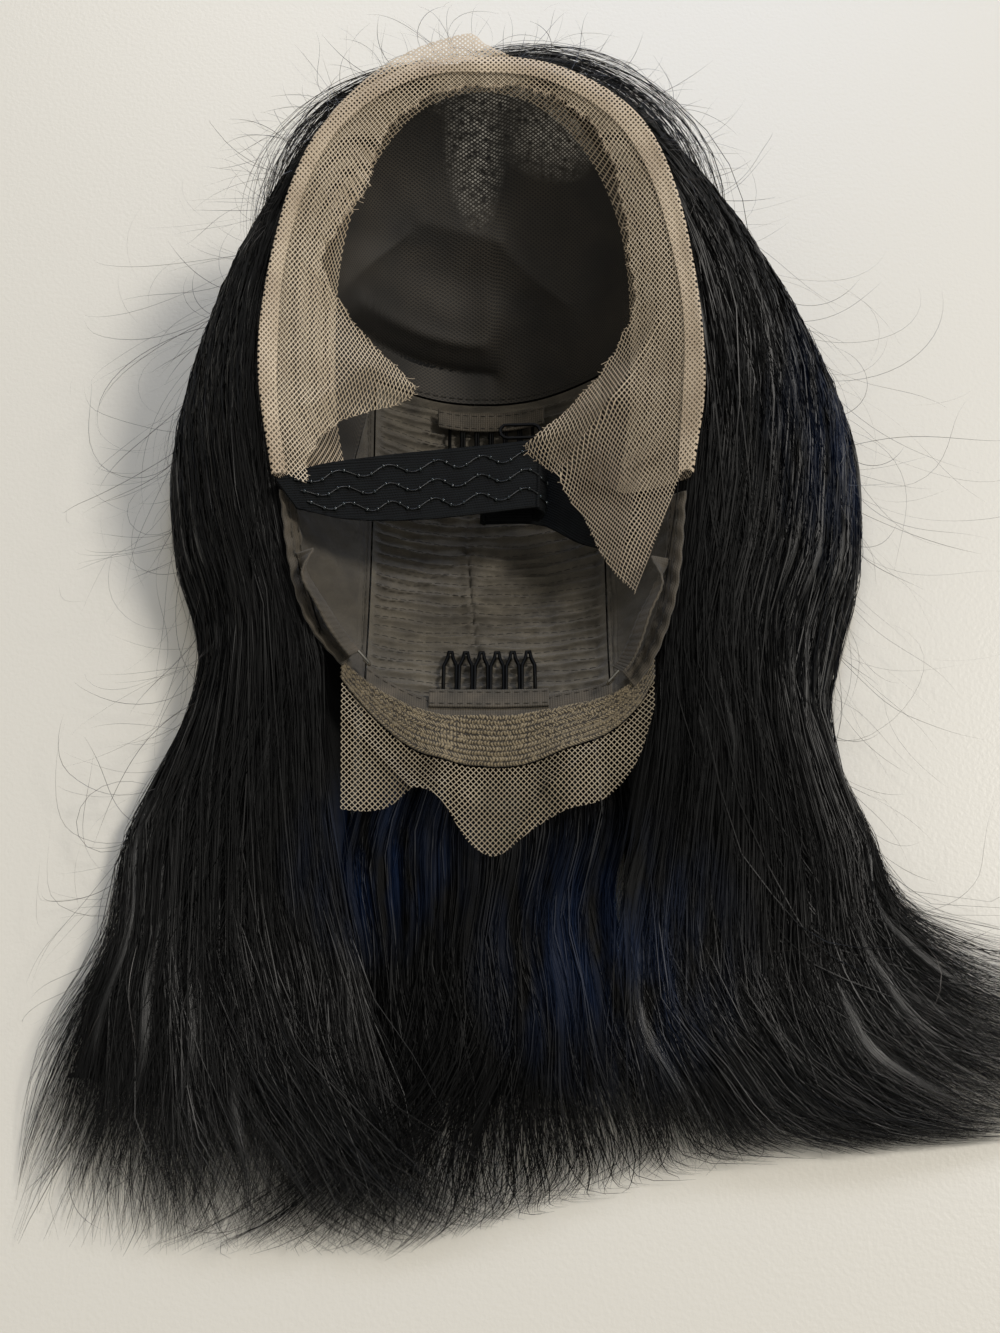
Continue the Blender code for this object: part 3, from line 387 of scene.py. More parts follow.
def clothPlace(tree):
    # the cloth's own millimetres: the place, then its share across and its share along
    place = addNode(tree, "UVMap", {}, uv_map="clothMm")
    return place, addNode(tree, "SeparateXYZ", {0: place}), addNode(tree, "SeparateXYZ", {0: place}, 1)


def unevenness(tree, size, detail=3.0, stretch=(1.0, 1.0, 1.0)):
    # soft patches about size millimetres across, in the piece's own coordinates
    place = addNode(tree, "TexCoord", {}, "Object")
    sized = addNode(tree, "Mapping", {"Vector": place, "Scale": stretch})
    return addNode(tree, "TexNoise", {"Vector": sized, "Scale": 1000.0 / size, "Detail": detail})


def unevenTone(tree, low, high, size, detail=3.0, span=(0.3, 0.7)):
    # the same soft patches, from one colour to the other
    worn = addNode(tree, "MapRange", {0: unevenness(tree, size, detail), 1: span[0], 2: span[1]})
    return addNode(tree, "Mix", {0: worn, 6: hexColour(low), 7: hexColour(high)}, 2, data_type="RGBA")


def roundRibs(tree, value, pitch):
    # one rib each pitch millimetres: 0 in the furrows and 1 on the crests
    turned = addNode(tree, "Math", {0: value, 1: math.pi / pitch}, operation="MULTIPLY")
    wave = addNode(tree, "Math", {0: turned}, operation="SINE")
    return addNode(tree, "Math", {0: wave}, operation="ABSOLUTE")


def crossedThreads(tree, pitch, lineShare, squash=0.85):
    # two families of slanted threads; 1 on a thread and 0 in a hole
    _, across, along = clothPlace(tree)
    edge = math.sin(math.pi * lineShare / 2)
    threads = []
    for side in (squash, -squash):
        slant = addNode(tree, "Math", {0: across, 1: side, 2: along}, operation="MULTIPLY_ADD")
        inputs = {0: roundRibs(tree, slant, pitch), 1: edge * 0.75, 2: edge * 1.25, 3: 1.0, 4: 0.0}
        threads.append(addNode(tree, "MapRange", inputs))
    return addNode(tree, "Math", {0: threads[0], 1: threads[1]}, operation="MAXIMUM")


def laceNylon(name, lineShare, low, high):
    # warp-knitted nylon monofilament netting: a beige mesh that what lies under it shows through
    material, tree, shader = newMaterial(name)
    threads = crossedThreads(tree, 2.0, lineShare, 1.0)  # slanted threads 1.4 mm apart, as on the real netting
    tone = unevenTone(tree, low, high, 17.0)
    relief = addNode(tree, "Bump", {"Height": threads, "Strength": 0.35, "Distance": 0.2 * mm})
    setInputs(tree, shader, {"Base Color": tone, "Alpha": threads, "Normal": relief, "Roughness": 0.52, "IOR": 1.53})
    return material


def knottedNet(sheenPlaces):
    # dark netting with a hair knot on each crossing; pale spots at the top are painted sheen
    material, tree, shader = newMaterial("knottedHairNet")
    threads = crossedThreads(tree, 1.5, 0.42, 0.7)  # slanted threads 1.2 mm apart
    place = clothPlace(tree)[0]
    sheenSpots = 0.0
    for centre, middle, wide, tall in sheenPlaces:
        offset = addNode(tree, "VectorMath", {0: place, 1: (centre, middle, 0.0)}, operation="SUBTRACT")
        sized = addNode(tree, "VectorMath", {0: offset, 1: (1 / wide, 1 / tall, 0.0)}, operation="MULTIPLY")
        away = addNode(tree, "VectorMath", {0: sized}, "Value", operation="LENGTH")
        spot = addNode(tree, "MapRange", {0: away, 1: 0.35, 2: 1.3, 3: 1.0, 4: 0.0})
        sheenSpots = addNode(tree, "Math", {0: spot, 1: sheenSpots}, operation="MAXIMUM")
    speckle = addNode(tree, "MapRange", {0: unevenness(tree, 2.2, 3.0), 1: 0.34, 2: 0.62})
    paleSheen = addNode(tree, "Math", {0: sheenSpots, 1: speckle}, operation="MULTIPLY")
    depth = unevenTone(tree, "#090807", "#171412", 1.1, 2.0, (0.0, 1.0))
    # painted sheen: a pale tone laid in spots over the holes at the top
    hole = addNode(tree, "Mix", {0: paleSheen, 6: depth, 7: hexColour("#D6D1C6")}, 2, data_type="RGBA")
    thread = unevenTone(tree, "#1F1C17", "#383229", 25.0, span=(0.35, 0.7))
    tone = addNode(tree, "Mix", {0: threads, 6: hole, 7: thread}, 2, data_type="RGBA")
    relief = addNode(tree, "Bump", {"Height": threads, "Strength": 0.5, "Distance": 0.3 * mm})
    setInputs(tree, shader, {"Base Color": tone, "Normal": relief, "Roughness": 0.7, "IOR": 1.5})
    return material


def stretchCloth(name, low, high, pitch):
    # fine weft-knitted polyester: matt, with rows of tiny loops; its lighter tone, laid in soft patches, is painted
    # highlight
    material, tree, shader = newMaterial(name)
    loops = crossedThreads(tree, pitch, 0.5, 1.4)  # the real loops are 0.35 mm
    # painted highlight: the lighter of the two tones, in soft patches
    tone = unevenTone(tree, low, high, 11.0, 5.0)
    grain = addNode(tree, "MapRange", {0: unevenness(tree, 0.6, 2.0), 1: 0.25, 2: 0.75, 3: 0.72, 4: 1.0})
    speckled = addNode(tree, "Mix", {0: 1.0, 6: tone, 7: grain}, 2, data_type="RGBA", blend_type="MULTIPLY")
    creased = addNode(tree, "Math", {0: unevenness(tree, 4.3, 4.0, (0.35, 1.0, 1.0)), 1: 4.5}, operation="MULTIPLY")
    both = addNode(tree, "Math", {0: loops, 1: 0.25, 2: creased}, operation="MULTIPLY_ADD")
    relief = addNode(tree, "Bump", {"Height": both, "Strength": 0.55, "Distance": 0.4 * mm})
    setInputs(tree, shader, {"Base Color": speckled, "Normal": relief, "Roughness": 0.78, "IOR": 1.5,
                             "Sheen Weight": 0.12})
    return material


def wovenTape(name, low, high, rib, strength=0.5, sheen=0.12, gloss=0.3):
    # narrow ribbed tape: close ribs across it, from its thick weft, with painted shade in the furrows
    material, tree, shader = newMaterial(name)
    _, across, along = clothPlace(tree)
    fine = addNode(tree, "Math", {0: roundRibs(tree, along, rib), 1: 0.3}, operation="MULTIPLY")
    both = addNode(tree, "Math", {0: roundRibs(tree, across, rib), 1: 0.7, 2: fine}, operation="MULTIPLY_ADD")
    tone = unevenTone(tree, low, high, 6.7, 4.0)
    # painted shade: the tone darkens in the furrows between the ribs
    furrows = addNode(tree, "MapRange", {0: both, 3: 0.6, 4: 1.0})
    ribbed = addNode(tree, "Mix", {0: 1.0, 6: tone, 7: furrows}, 2, data_type="RGBA", blend_type="MULTIPLY")
    relief = addNode(tree, "Bump", {"Height": both, "Strength": strength, "Distance": 0.3 * mm})
    setInputs(tree, shader, {"Base Color": ribbed, "Normal": relief, "Roughness": 0.66, "IOR": 1.5,
                             "Sheen Weight": sheen, "Specular IOR Level": gloss})
    return material


def knittedTrim():
    # coarse crocheted galloon: open rows of loops with dark gaps between them
    material, tree, shader = newMaterial("crochetedNapeTrim")
    _, across, along = clothPlace(tree)
    rowPitch, loopPitch = 1.9, 1.3  # millimetres
    turned = addNode(tree, "Math", {0: along, 1: math.pi / rowPitch}, operation="MULTIPLY")
    wave = addNode(tree, "Math", {0: turned}, operation="SINE")
    slid = addNode(tree, "Math", {0: wave, 1: 0.49, 2: across}, operation="MULTIPLY_ADD")
    rows, loops = roundRibs(tree, along, rowPitch), roundRibs(tree, slid, loopPitch)
    form = addNode(tree, "Math", {0: rows, 1: loops}, operation="MULTIPLY")
    fuzz = addNode(tree, "MapRange", {0: unevenness(tree, 1.6, 3.0), 1: 0.3, 2: 0.7, 3: -0.38, 4: 0.38})
    ragged = addNode(tree, "Math", {0: form, 1: fuzz}, operation="ADD")
    open = addNode(tree, "MapRange", {0: ragged, 1: 0.12, 2: 0.55})
    tone = addNode(tree, "Mix", {0: open, 6: hexColour("#332C22"), 7: hexColour("#87795F")}, 2, data_type="RGBA")
    relief = addNode(tree, "Bump", {"Height": ragged, "Strength": 0.8, "Distance": 0.6 * mm})
    setInputs(tree, shader, {"Base Color": tone, "Normal": relief, "Roughness": 0.7, "IOR": 1.5, "Sheen Weight": 0.1})
    return material


blueSheenPlaces = (  # painted blue sheen spots: x, y and reach in the cap's own frame
    (-0.034, -0.152, 0.040),
    (0.046, -0.184, 0.055),
    (0.128, 0.012, 0.060),
)


def hairFibre(name, laid, roughness=0.34, gloss=0.26, streak=2.6):
    # straight black hair with painted blue sheen in spots; smooth cuticle, so light runs in soft bands across the
    # strands
    material, tree, shader = newMaterial(name)
    where = addNode(tree, "TexCoord", {}, "Object")
    blueSheenSpots = 0.0
    for x, y, reach in blueSheenPlaces:
        middle = (x + shift.x, y + shift.y, 0.02)
        away = addNode(tree, "VectorMath", {0: where, 1: middle}, "Value", operation="DISTANCE")
        spot = addNode(tree, "MapRange", {0: away, 1: 0.0, 2: reach, 3: 1.0, 4: 0.0})
        blueSheenSpots = addNode(tree, "Math", {0: spot, 1: blueSheenSpots}, operation="MAXIMUM")
    lock = addNode(tree, "MapRange", {0: unevenness(tree, 9.0, 2.0, (1.0, 0.25, 0.5)), 1: 0.36, 2: 0.60})
    blueSheen = addNode(tree, "Math", {0: blueSheenSpots, 1: lock}, operation="MULTIPLY")
    if laid:
        place, _, along = clothPlace(tree)
        combed = addNode(tree, "Mapping", {"Vector": place, "Scale": (streak, 0.018, 1.0)})
        strands = addNode(tree, "TexNoise", {"Vector": combed, "Scale": 1.0, "Detail": 3.0, "Roughness": 0.65})
        broad = addNode(tree, "Mapping", {"Vector": place, "Scale": (0.10, 0.0, 1.0)})
        uneven = addNode(tree, "TexNoise", {"Vector": broad, "Scale": 1.0, "Detail": 2.0})
        tufts = addNode(tree, "MapRange", {0: uneven, 1: 0.3, 2: 0.7, 3: -26.0, 4: 26.0})
        end = addNode(tree, "Math", {0: along, 1: tufts}, operation="ADD")  # millimetres from the root
        thinning = addNode(tree, "MapRange", {0: end, 1: 244.0, 2: 312.0, 3: 0.24, 4: 0.82})
        left = addNode(tree, "Math", {0: strands, 1: thinning}, operation="SUBTRACT")
        kept = addNode(tree, "MapRange", {0: left, 1: 0.0, 2: 0.05})
        relief = addNode(tree, "Bump", {"Height": strands, "Strength": 0.7, "Distance": 0.5 * mm})
        combing = addNode(tree, "Tangent", {}, direction_type="UV_MAP", uv_map="clothMm")
        setInputs(tree, shader, {"Alpha": kept, "Normal": relief, "Tangent": combing})
        light = addNode(tree, "MapRange", {0: strands, 1: 0.35, 2: 0.7})
        dark = addNode(tree, "Mix", {0: light, 6: hexColour("#010101"), 7: hexColour("#070707")}, 2, data_type="RGBA")
    else:
        light = addNode(tree, "MapRange", {0: unevenness(tree, 3.3, 2.0, (1.0, 0.06, 0.3)), 1: 0.3, 2: 0.7})
        dark = addNode(tree, "Mix", {0: light, 6: hexColour("#020202"), 7: hexColour("#090909")}, 2, data_type="RGBA")
    # painted blue sheen: a navy tone where the sheen spots meet the lock patches
    tone = addNode(tree, "Mix", {0: blueSheen, 6: dark, 7: hexColour("#0A1A33")}, 2, data_type="RGBA")
    setInputs(tree, shader, {"Base Color": tone, "Roughness": roughness, "IOR": 1.55, "Anisotropic": 0.6,
                             "Specular IOR Level": gloss})
    return material


def plainFinish(name, low, high, settings):
    # one plain stuff with a faintly uneven tone
    material, tree, shader = newMaterial(name)
    setInputs(tree, shader, {"Base Color": unevenTone(tree, low, high, 3.8, span=(0.35, 0.65)), **settings})
    return material


laceFinish = laceNylon("beigeNylonNetting", 0.205, "#D3C2A8", "#B7A58B")
hemFinish = laceNylon("doubledNettingEdge", 0.40, "#CDBBA1", "#AE9B83")
# the nape's netting is a darker, greyer copy of the lace: painted shade
napeLaceFinish = laceNylon("shadedNylonNetting", 0.21, "#AB9D84", "#8C7F69")
# painted sheen spots: millimetres across and up, and half sizes
netFinish = knottedNet(((-4.0, 106.0, 10.0, 28.0), (29.0, 106.0, 20.0, 16.0), (6.0, 124.0, 26.0, 10.0)))
weftFinish = stretchCloth("weftedCapCloth", "#47423A", "#655E51", 0.8)
panelFinish = stretchCloth("plainCapCloth", "#3A352D", "#504A3F", 0.9)
tapeFinish = wovenTape("capBindingTape", "#3F3A31", "#574F43", 0.9)
trimFinish = knittedTrim()
bandFinish = wovenTape("blackElasticWebbing", "#030405", "#090C0D", 1.0, 0.7, 0.0, 0.12)
strandFinish = hairFibre("looseBlackStrands", False, 0.42, 0.23)
laidFinish = hairFibre("laidBlackHair", True, 0.38, 0.40)
# under hair lies closer, so less of it shines
napeStrandFinish = hairFibre("shadedBlackStrands", False, 0.45, 0.10)
napeLaidFinish = hairFibre("shadedLaidHair", True, 0.45, 0.08)
hairCoreFinish = hairFibre("packedBlackHair", False, 0.6, 0.20)
# lone hairs look browner than the mass
flyFinish = plainFinish("singleBrownBlackHairs", "#120F0D", "#2A221D", {"Roughness": 0.4})
# clear silicone over black webbing: wet-looking glints on the beads, and duller thin lines
silicone = {"Roughness": 0.10, "IOR": 1.41, "Specular IOR Level": 0.9}
beadFinish = plainFinish("clearSiliconeBead", "#0D1213", "#1D2527", silicone)
dullSilicone = {"Roughness": 0.30, "IOR": 1.41, "Specular IOR Level": 0.35}
waveFinish = plainFinish("mattSiliconeLine", "#050708", "#0B0E0F", dullSilicone)
# matt spun polyester, darker than the cloth
threadFinish = plainFinish("sewingThread", "#211D17", "#332F26", {"Roughness": 0.65})
# steel wire under a dull black coat, so it reads as black
wireFinish = plainFinish("blackCoatedSteelWire", "#010101", "#040404", {"Roughness": 0.5, "Specular IOR Level": 0.10})
# bright nickel plate with soft grey wear
hookFinish = plainFinish("nickelPlatedWire", "#7C7972", "#A19E97", {"Roughness": 0.25, "Metallic": 1.0})
print("materials ready")


# front net, panels and tapes

netLook = {"columns": 130, "rows": 100, "corner": 0.15, "wrinkle": 0.0006, "fade": 0.08}
weftLook = {
    "columns": 100, "rows": 330, "weftPitch": 0.0044, "ridge": 0.0018, "crumple": 0.0008, "pucker": 0.0020,
    "seamMiddle": -0.048, "inset": 0.0003,
}
panelLook = {"columns": 61, "rows": 121, "out": 0.985, "crease": 0.0011, "seam": 0.0004, "fade": 0.06}
edgeTapeLook = {"columns": 15, "rows": 90, "inner": 0.94, "lift": 0.0017, "roll": 0.0005, "wall": 0.0009}


def sceneHairline(turn):
    return station(turn, "hairline") + 0.042 * np.exp(-(np.asarray(turn) / 38.0) ** 2)


def earPlace(side):
    return np.array(capPlan(side * bowl["earTurn"], station(side * bowl["earTurn"], "hairline")))


netCreases = (  # x0, y0, x1, y1, height, width
    (-0.050, 0.050, 0.004, 0.046, -0.0040, 0.0026),
    (-0.046, 0.058, 0.000, 0.055, 0.0034, 0.0034),
    (-0.024, 0.088, 0.006, 0.086, 0.0022, 0.0050),
    (0.006, 0.086, 0.034, 0.064, 0.0024, 0.0050),
    (-0.052, 0.062, -0.030, 0.084, 0.0020, 0.0040),
)


def creases(places, rows):
    # sharp soft ridges along the lines of a table
    x, y = places[..., 0], places[..., 1]
    return sum(height * np.exp(-awayFromLine(x, y, ends) / width) for *ends, height, width in rows)


def makeFrontNet(look):
    across = np.linspace(0, 1, look["columns"])
    up = np.linspace(0, 1, look["rows"])[:, None]
    turn = mix(-bowl["earTurn"], bowl["earTurn"], across)
    topX, topY = capPlan(turn, sceneHairline(turn))
    # its foot runs from ear to ear along the crown seam
    seamEnds = ((bowl["leftSeam"], bowl["seamY"]), (bowl["rightSeam"], bowl["seamY"]))
    corners = np.transpose((earPlace(-1), *seamEnds, earPlace(1)))
    footX, footY = (np.interp(across, (0, look["corner"], 1 - look["corner"], 1), line) for line in corners)
    steepening = 1 - (1 - up) ** 1.3
    x, y = mix(footX, topX, steepening), mix(footY + 0.0005, topY, steepening)
    flat = np.stack((x, y, np.zeros_like(x)), -1)
    wrinkle = softNoise(flat, 0.011, 3.0) * 0.5 + softNoise(flat * (1, 2.2, 1), 0.020, 9.0)
    lift = look["wrinkle"] * (wrinkle - 0.6) + creases(flat, netCreases)
    places = capPoint(x, y, lift * fadeIn(across, up, look["fade"], look["fade"]))
    return clothPiece("frontNet", places, netFinish, ("front_net",))


def makeBackPanel(look):
    across = np.linspace(0, 1, look["columns"])
    up = np.linspace(0, 1, look["rows"])[:, None]
    x = mix(bowl["leftSeam"] + look["inset"], bowl["rightSeam"] - look["inset"], across)[None, :] + 0 * up
    y = mix(napeY(x[0]) + 2 * look["inset"], bowl["seamY"] - look["inset"], up)
    flat = np.stack((x, y, 0 * x), -1)
    wander = softNoise(flat * (0.6, 1, 1), 0.016, 4.0) * 0.35 + softNoise(flat, 0.045, 7.0) * 0.4
    row = (y - bowl["seamY"]) / look["weftPitch"] + wander
    ridge = (1 - np.abs(np.sin(math.pi * row))) ** 1.5  # a narrow fold stands up along each weft
    crumple = softNoise(flat * (1.0, 1.8, 1.0), 0.0065, 1.0) + 0.5 * softNoise(flat, 0.0032, 5.0)
    # one gathered seam runs down the middle: small puckers beside a narrow groove
    besideSeam, pastMiddle = x - (-0.004 + 0.002 * np.sin(y * 60)), y - look["seamMiddle"]
    near = np.exp(-(besideSeam / 0.006) ** 2) * np.exp(-(pastMiddle / 0.034) ** 2)
    pucker = near * np.abs(np.sin(math.pi * (y / 0.0052 + np.abs(besideSeam) / 0.012)))
    groove = np.exp(-(besideSeam / 0.0011) ** 2) * np.exp(-(pastMiddle / 0.040) ** 4)
    lift = look["ridge"] * (ridge - 1) + look["crumple"] * (crumple - 0.8)
    lift = lift + look["pucker"] * (pucker * 0.8 - 0.9 * groove)
    places = capPoint(x, y, np.minimum(lift, 0.0004) * fadeIn(across, up, 0.05, 0.03))
    return clothPiece("weftedBack", places, weftFinish, ("back_panel",))


def makeSidePanel(look, side, name, node):
    # plain cloth, creased towards the ear, with a double seam line beside the wefts
    inset = weftLook["inset"]
    corner = np.array((bowl["rightSeam" if side > 0 else "leftSeam"] + side * inset, bowl["seamY"] - inset))
    ear = earPlace(side) + np.array((-side * inset, -2 * inset))
    backTurn, frontTurn = side * (bowl["napeTurn"] - 4), side * (bowl["earTurn"] + 1)
    front, back = np.array(capPlan(frontTurn, look["out"])), np.array(capPlan(backTurn, look["out"]))
    low = np.array((corner[0], float(napeY(corner[0])) + 0.002))
    u = np.linspace(0, 1, look["columns"])[None, :, None]
    up = np.linspace(0, 1, look["rows"])[:, None, None]
    outer = np.stack(capPlan(mix(backTurn, frontTurn, up[..., 0]), look["out"]), -1)
    frontLine = np.where(u <= 0.5, mix(corner, ear, 2 * u), mix(ear, front, 2 * u - 1))
    inner = mix(low, corner, up)
    backLine = mix(low, back, u)
    plan = mix(inner, outer, u) + mix(backLine, frontLine, up) - mix(backLine, mix(corner, front, u), up)
    flat = np.concatenate((plan, np.zeros_like(plan[..., :1])), -1)
    crease = softNoise(flat * (1.6, 0.8, 1), 0.010, 2.0 * side) + 0.6 * softNoise(flat, 0.0045, 6.0)
    across, up = u[..., 0], up[..., 0]
    seam = np.exp(-((across - 0.06) / 0.02) ** 2) + 0.7 * np.exp(-((across - 0.16) / 0.015) ** 2)
    lift = look["crease"] * (crease - 0.9) - look["seam"] * seam
    places = capPoint(plan[..., 0], plan[..., 1], lift * fadeIn(across, up, look["fade"], look["fade"]))
    return clothPiece(name, places[:, ::side], panelFinish, (node,))


def makeEdgeTape(look, side, name, node):
    # the binding stands up in two soft rolls with a stitched channel between them
    up = np.linspace(0, 1, look["rows"])[:, None]
    u = np.linspace(0, 1, look["columns"])[None, :]
    turn = side * mix(bowl["napeTurn"], bowl["earTurn"] + 1, up)
    roll = look["roll"] * np.abs(np.sin(2 * math.pi * u)) + 0.0003 * np.sin(up * 60 + 3 * u)
    places = rimPoint(turn + 0 * u, mix(look["inner"], 1.0, u) + 0 * turn, look["lift"] + roll)
    clothWall(clothPiece(name, places[:, ::side], tapeFinish, (node,)), look["wall"])


frontNet = makeFrontNet(netLook)
weftedBack = makeBackPanel(weftLook)
sideLeft = makeSidePanel(panelLook, -1, "sidePanelLeft", "side_panel_left")
sideRight = makeSidePanel(panelLook, 1, "sidePanelRight", "side_panel_right")
makeEdgeTape(edgeTapeLook, -1, "edgeTapeLeft", "edge_tape_left")
makeEdgeTape(edgeTapeLook, 1, "edgeTapeRight", "edge_tape_right")
print("net, panels and edge tapes ready")


# bare lace

laceLook = {
    "columns": 420, "rows": 56, "flapFrom": 2.6, "ripple": 0.0028, "crease": 1.5, "hemRows": 18, "hemAt": (2.20, 3.08),
    "peakColumns": 120, "peakRows": 16, "peakTurn": (-52.0, 9.0), "peakReach": 0.0140, "peakShare": 0.80,
    "cutThreads": 330, "cutThread": 0.00011,
}
napeLook = {"columns": 260, "trimRows": 36, "trimLoops": 5, "trimLoop": 0.00035, "trimWall": 0.0008, "laceRows": 64}
creaseRows = (  # x0, y0, x1, y1, height, width
    (0.022, -0.018, 0.046, 0.004, 0.0030, 0.0018),
    (0.046, 0.004, 0.062, 0.028, 0.0026, 0.0020),
    (0.050, -0.050, 0.058, -0.016, 0.0022, 0.0016),
    (0.036, -0.020, 0.058, -0.034, -0.0016, 0.0030),
    (-0.062, 0.000, -0.040, 0.018, 0.0016, 0.0022),
    (-0.066, 0.052, -0.036, 0.024, 0.0012, 0.0030),
    (-0.066, 0.090, -0.048, 0.058, 0.0014, 0.0022),
)


def laceSection(turn):
    inwards, along = rimAxes(turn)
    inward, nape, drop = (tableCurve(laceRows, "turn", name, turn)[:, None] for name in ("inward", "nape", "drop"))
    hairline = sceneHairline(turn)
    lift = bowl["foldLift"]
    up = np.array((0.0, 0.0, 1.0))
    start = rimPoint(turn, hairline - 0.020, 0.0016)
    wall = rimPoint(turn, mix(hairline, 1.0, 0.45), 0.0013)
    rim = rimPoint(turn) + up * 0.6 * lift
    over = rim + inwards * lift + up * 0.5 * lift
    free = over + (inwards * inward + along * nape) * bowl["flapReach"] - up * drop * bowl["flapDrop"]
    middle = mix(over, free, 0.55) + up * 0.10 * bowl["flapDrop"] * inward
    return np.stack((start, wall, rim, over, middle, free)), inward[:, 0], inwards


def laceSizes(places, turn):
    # millimetres along the netting as it was laid flat: level places, let out by their height against the rim
    outwards = -rimAxes(turn)[0][:, :2]
    fall = (places[..., 2] - rimHeight(turn))[..., None] * 0.7
    return (places[..., :2] + fall * outwards) / mm


def makeFrontLace(look):
    turn = np.linspace(1 - bowl["earTurn"], bowl["earTurn"] - 1, look["columns"])
    section, inward, inwards = laceSection(turn)
    at = np.linspace(0, len(section) - 1, look["rows"])
    places = curveRows(section, at)
    # soft creases over the flaps; the free edge is cut by hand, so it wanders
    share = np.clip((at - look["flapFrom"]) / (at[-1] - look["flapFrom"]), 0, 1)[:, None]
    ripple = softNoise(places * (1.0, 1.0, 0.5), 0.024, 5.0) + 0.35 * softNoise(places, 0.010, 8.0)
    wide = np.minimum(inward / 0.5, 1.0)[None, :]
    places[..., 2] += share * wide * (look["ripple"] * ripple + look["crease"] * creases(places, creaseRows))
    ragged = dice.normal(0, 0.00016, len(turn)) + 0.0005 * np.sin(turn * 0.5) + 0.0004 * np.sin(turn * 1.7)
    places += (share**3)[..., None] * inwards * ragged[:, None]
    piece = clothPiece("frontLace", places, laceFinish, ("front_lace",), laceSizes(places, turn))
    # the edge is folded double, a second layer just over the first
    hemAt = np.linspace(*look["hemAt"], look["hemRows"])
    doubled = 0.85 * np.exp(-((turn - 15) / 42) ** 2)  # at the top the fold lies further in
    hem = np.stack([curveThrough(section, a + doubled * (a - hemAt[0])) for a in hemAt])
    hem[..., 2] += 0.0008 + 0.0004 * softNoise(hem, 0.012, 4.0)
    hem += inwards * 0.0007 * np.linspace(-1, 1, look["hemRows"])[:, None, None]
    clothPiece("laceHem", hem, hemFinish, sizes=laceSizes(hem, turn))
    # a loose corner stands up behind the rim on the left of the top
    low, high = look["peakTurn"]
    peakTurn = np.linspace(low, high, look["peakColumns"])
    share, top = (peakTurn - low) / (high - low), look["peakShare"]
    tall = look["peakReach"] * np.where(share < top, (share / top) ** 1.3, ((1 - share) / (1 - top)) ** 1.1)
    up = np.linspace(0, 1, look["peakRows"])[:, None]
    peak = rimPoint(peakTurn) + np.array((0, 0, 0.0018)) - rimAxes(peakTurn)[0] * (up * tall)[..., None]
    peak[..., 2] += 0.0016 * np.sin(up * 3.0) - 0.15 * up * tall + 0.0005 * softNoise(peak, 0.008, 2.0)
    clothPiece("lacePeak", peak, hemFinish, sizes=laceSizes(peak, peakTurn))
    # single threads that stick out of the cut
    edge, outwards = places[-1], unit(places[-1] - places[-3])
    paths = []
    for i in dice.choice(len(edge), look["cutThreads"], replace=False):
        reach = dice.gamma(2.0, 0.00030)
        way = (outwards[i] + dice.normal(0, 0.45, 3)) * reach
        tip = edge[i] + way + np.array((0, 0, reach * 0.2))
        paths.append(np.stack((edge[i] - outwards[i] * 0.0006, edge[i] + way * 0.5, tip)))
    finishPiece("cutThreads", threadMesh("cutThreads", paths, look["cutThread"]), hemFinish)
    return piece


def apronPoint(across, out):
    x = mix(bowl["napeLeft"], bowl["napeRight"], across)
    y = napeY(x)
    turn = capShares(x, y)[2]
    ridge = tableCurve(apronRows, "across", "lift", across) * 0.020 * np.minimum(out / bowl["trimWidth"], 1.0)
    return np.stack((x + 0 * out, y - out, rimHeight(turn) - bowl["apronFall"] * out + ridge), -1)


def trimDepth(across):
    return bowl["trimWidth"] * tableCurve(apronRows, "across", "trim", across)


def makeNapeTrim(look):
    # warp-knitted trim: raised rows of loops and a picot edge
    across = np.linspace(0, 1, look["columns"])[None, :]
    up = np.linspace(0, 1, look["trimRows"])[:, None]
    places = apronPoint(across + 0 * up, mix(trimDepth(across), -0.0030, up))
    rows = look["trimLoop"] * np.abs(np.sin(up * math.pi * look["trimLoops"]))
    loops = rows * (1 + 0.5 * np.sin(across * 420)) + 0.00015 * np.sin(across * 840)
    places[..., 2] += loops + 0.0005 * softNoise(places, 0.012, 3.0) + 0.0006
    clothWall(clothPiece("napeTrim", places, trimFinish, ("nape_trim",)), look["trimWall"])


napeCreases = (  # x0, y0, x1, y1, height, width
    (-0.052, -0.100, -0.010, -0.142, 0.0042, 0.0026),
    (0.050, -0.108, 0.024, -0.126, 0.0040, 0.0026),
    (0.024, -0.126, 0.012, -0.142, 0.0034, 0.0022),
    (-0.020, -0.124, 0.004, -0.134, 0.0010, 0.0030),
)


def makeNapeLace(look):
    across = np.linspace(0, 1, look["columns"])[None, :]
    fall = np.linspace(1, 0, look["laceRows"])[:, None]
    hang = bowl["napeLaceDepth"] * tableCurve(apronRows, "across", "hang", across)
    places = apronPoint(across + 0 * fall, trimDepth(across) + 0.0003 + hang * fall)
    places[..., 2] += fall * (0.0014 * softNoise(places, 0.016, 12.0) + creases(places, napeCreases))
    return clothPiece("napeLace", places, napeLaceFinish, ("nape_lace",), places[..., :2] / mm)


frontLace = makeFrontLace(laceLook)
makeNapeTrim(napeLook)
napeLace = makeNapeLace(napeLook)
print("bare lace ready")


# tapes, combs and stitches

tapeLook = {
    "columns": 90, "rows": 13, "wall": 0.0007, "combTapeWidth": 0.044, "combTapeDepth": 0.0075, "combTapeLift": 0.0026,
    "napeTapeDepth": 0.0079, "napeTapeLift": 0.0012, "spineShare": 0.0012,
    "stitch": 0.0022, "gap": 0.0012, "thread": 0.00016, "wireCoat": 0.00035,
}
stitchPaths = []


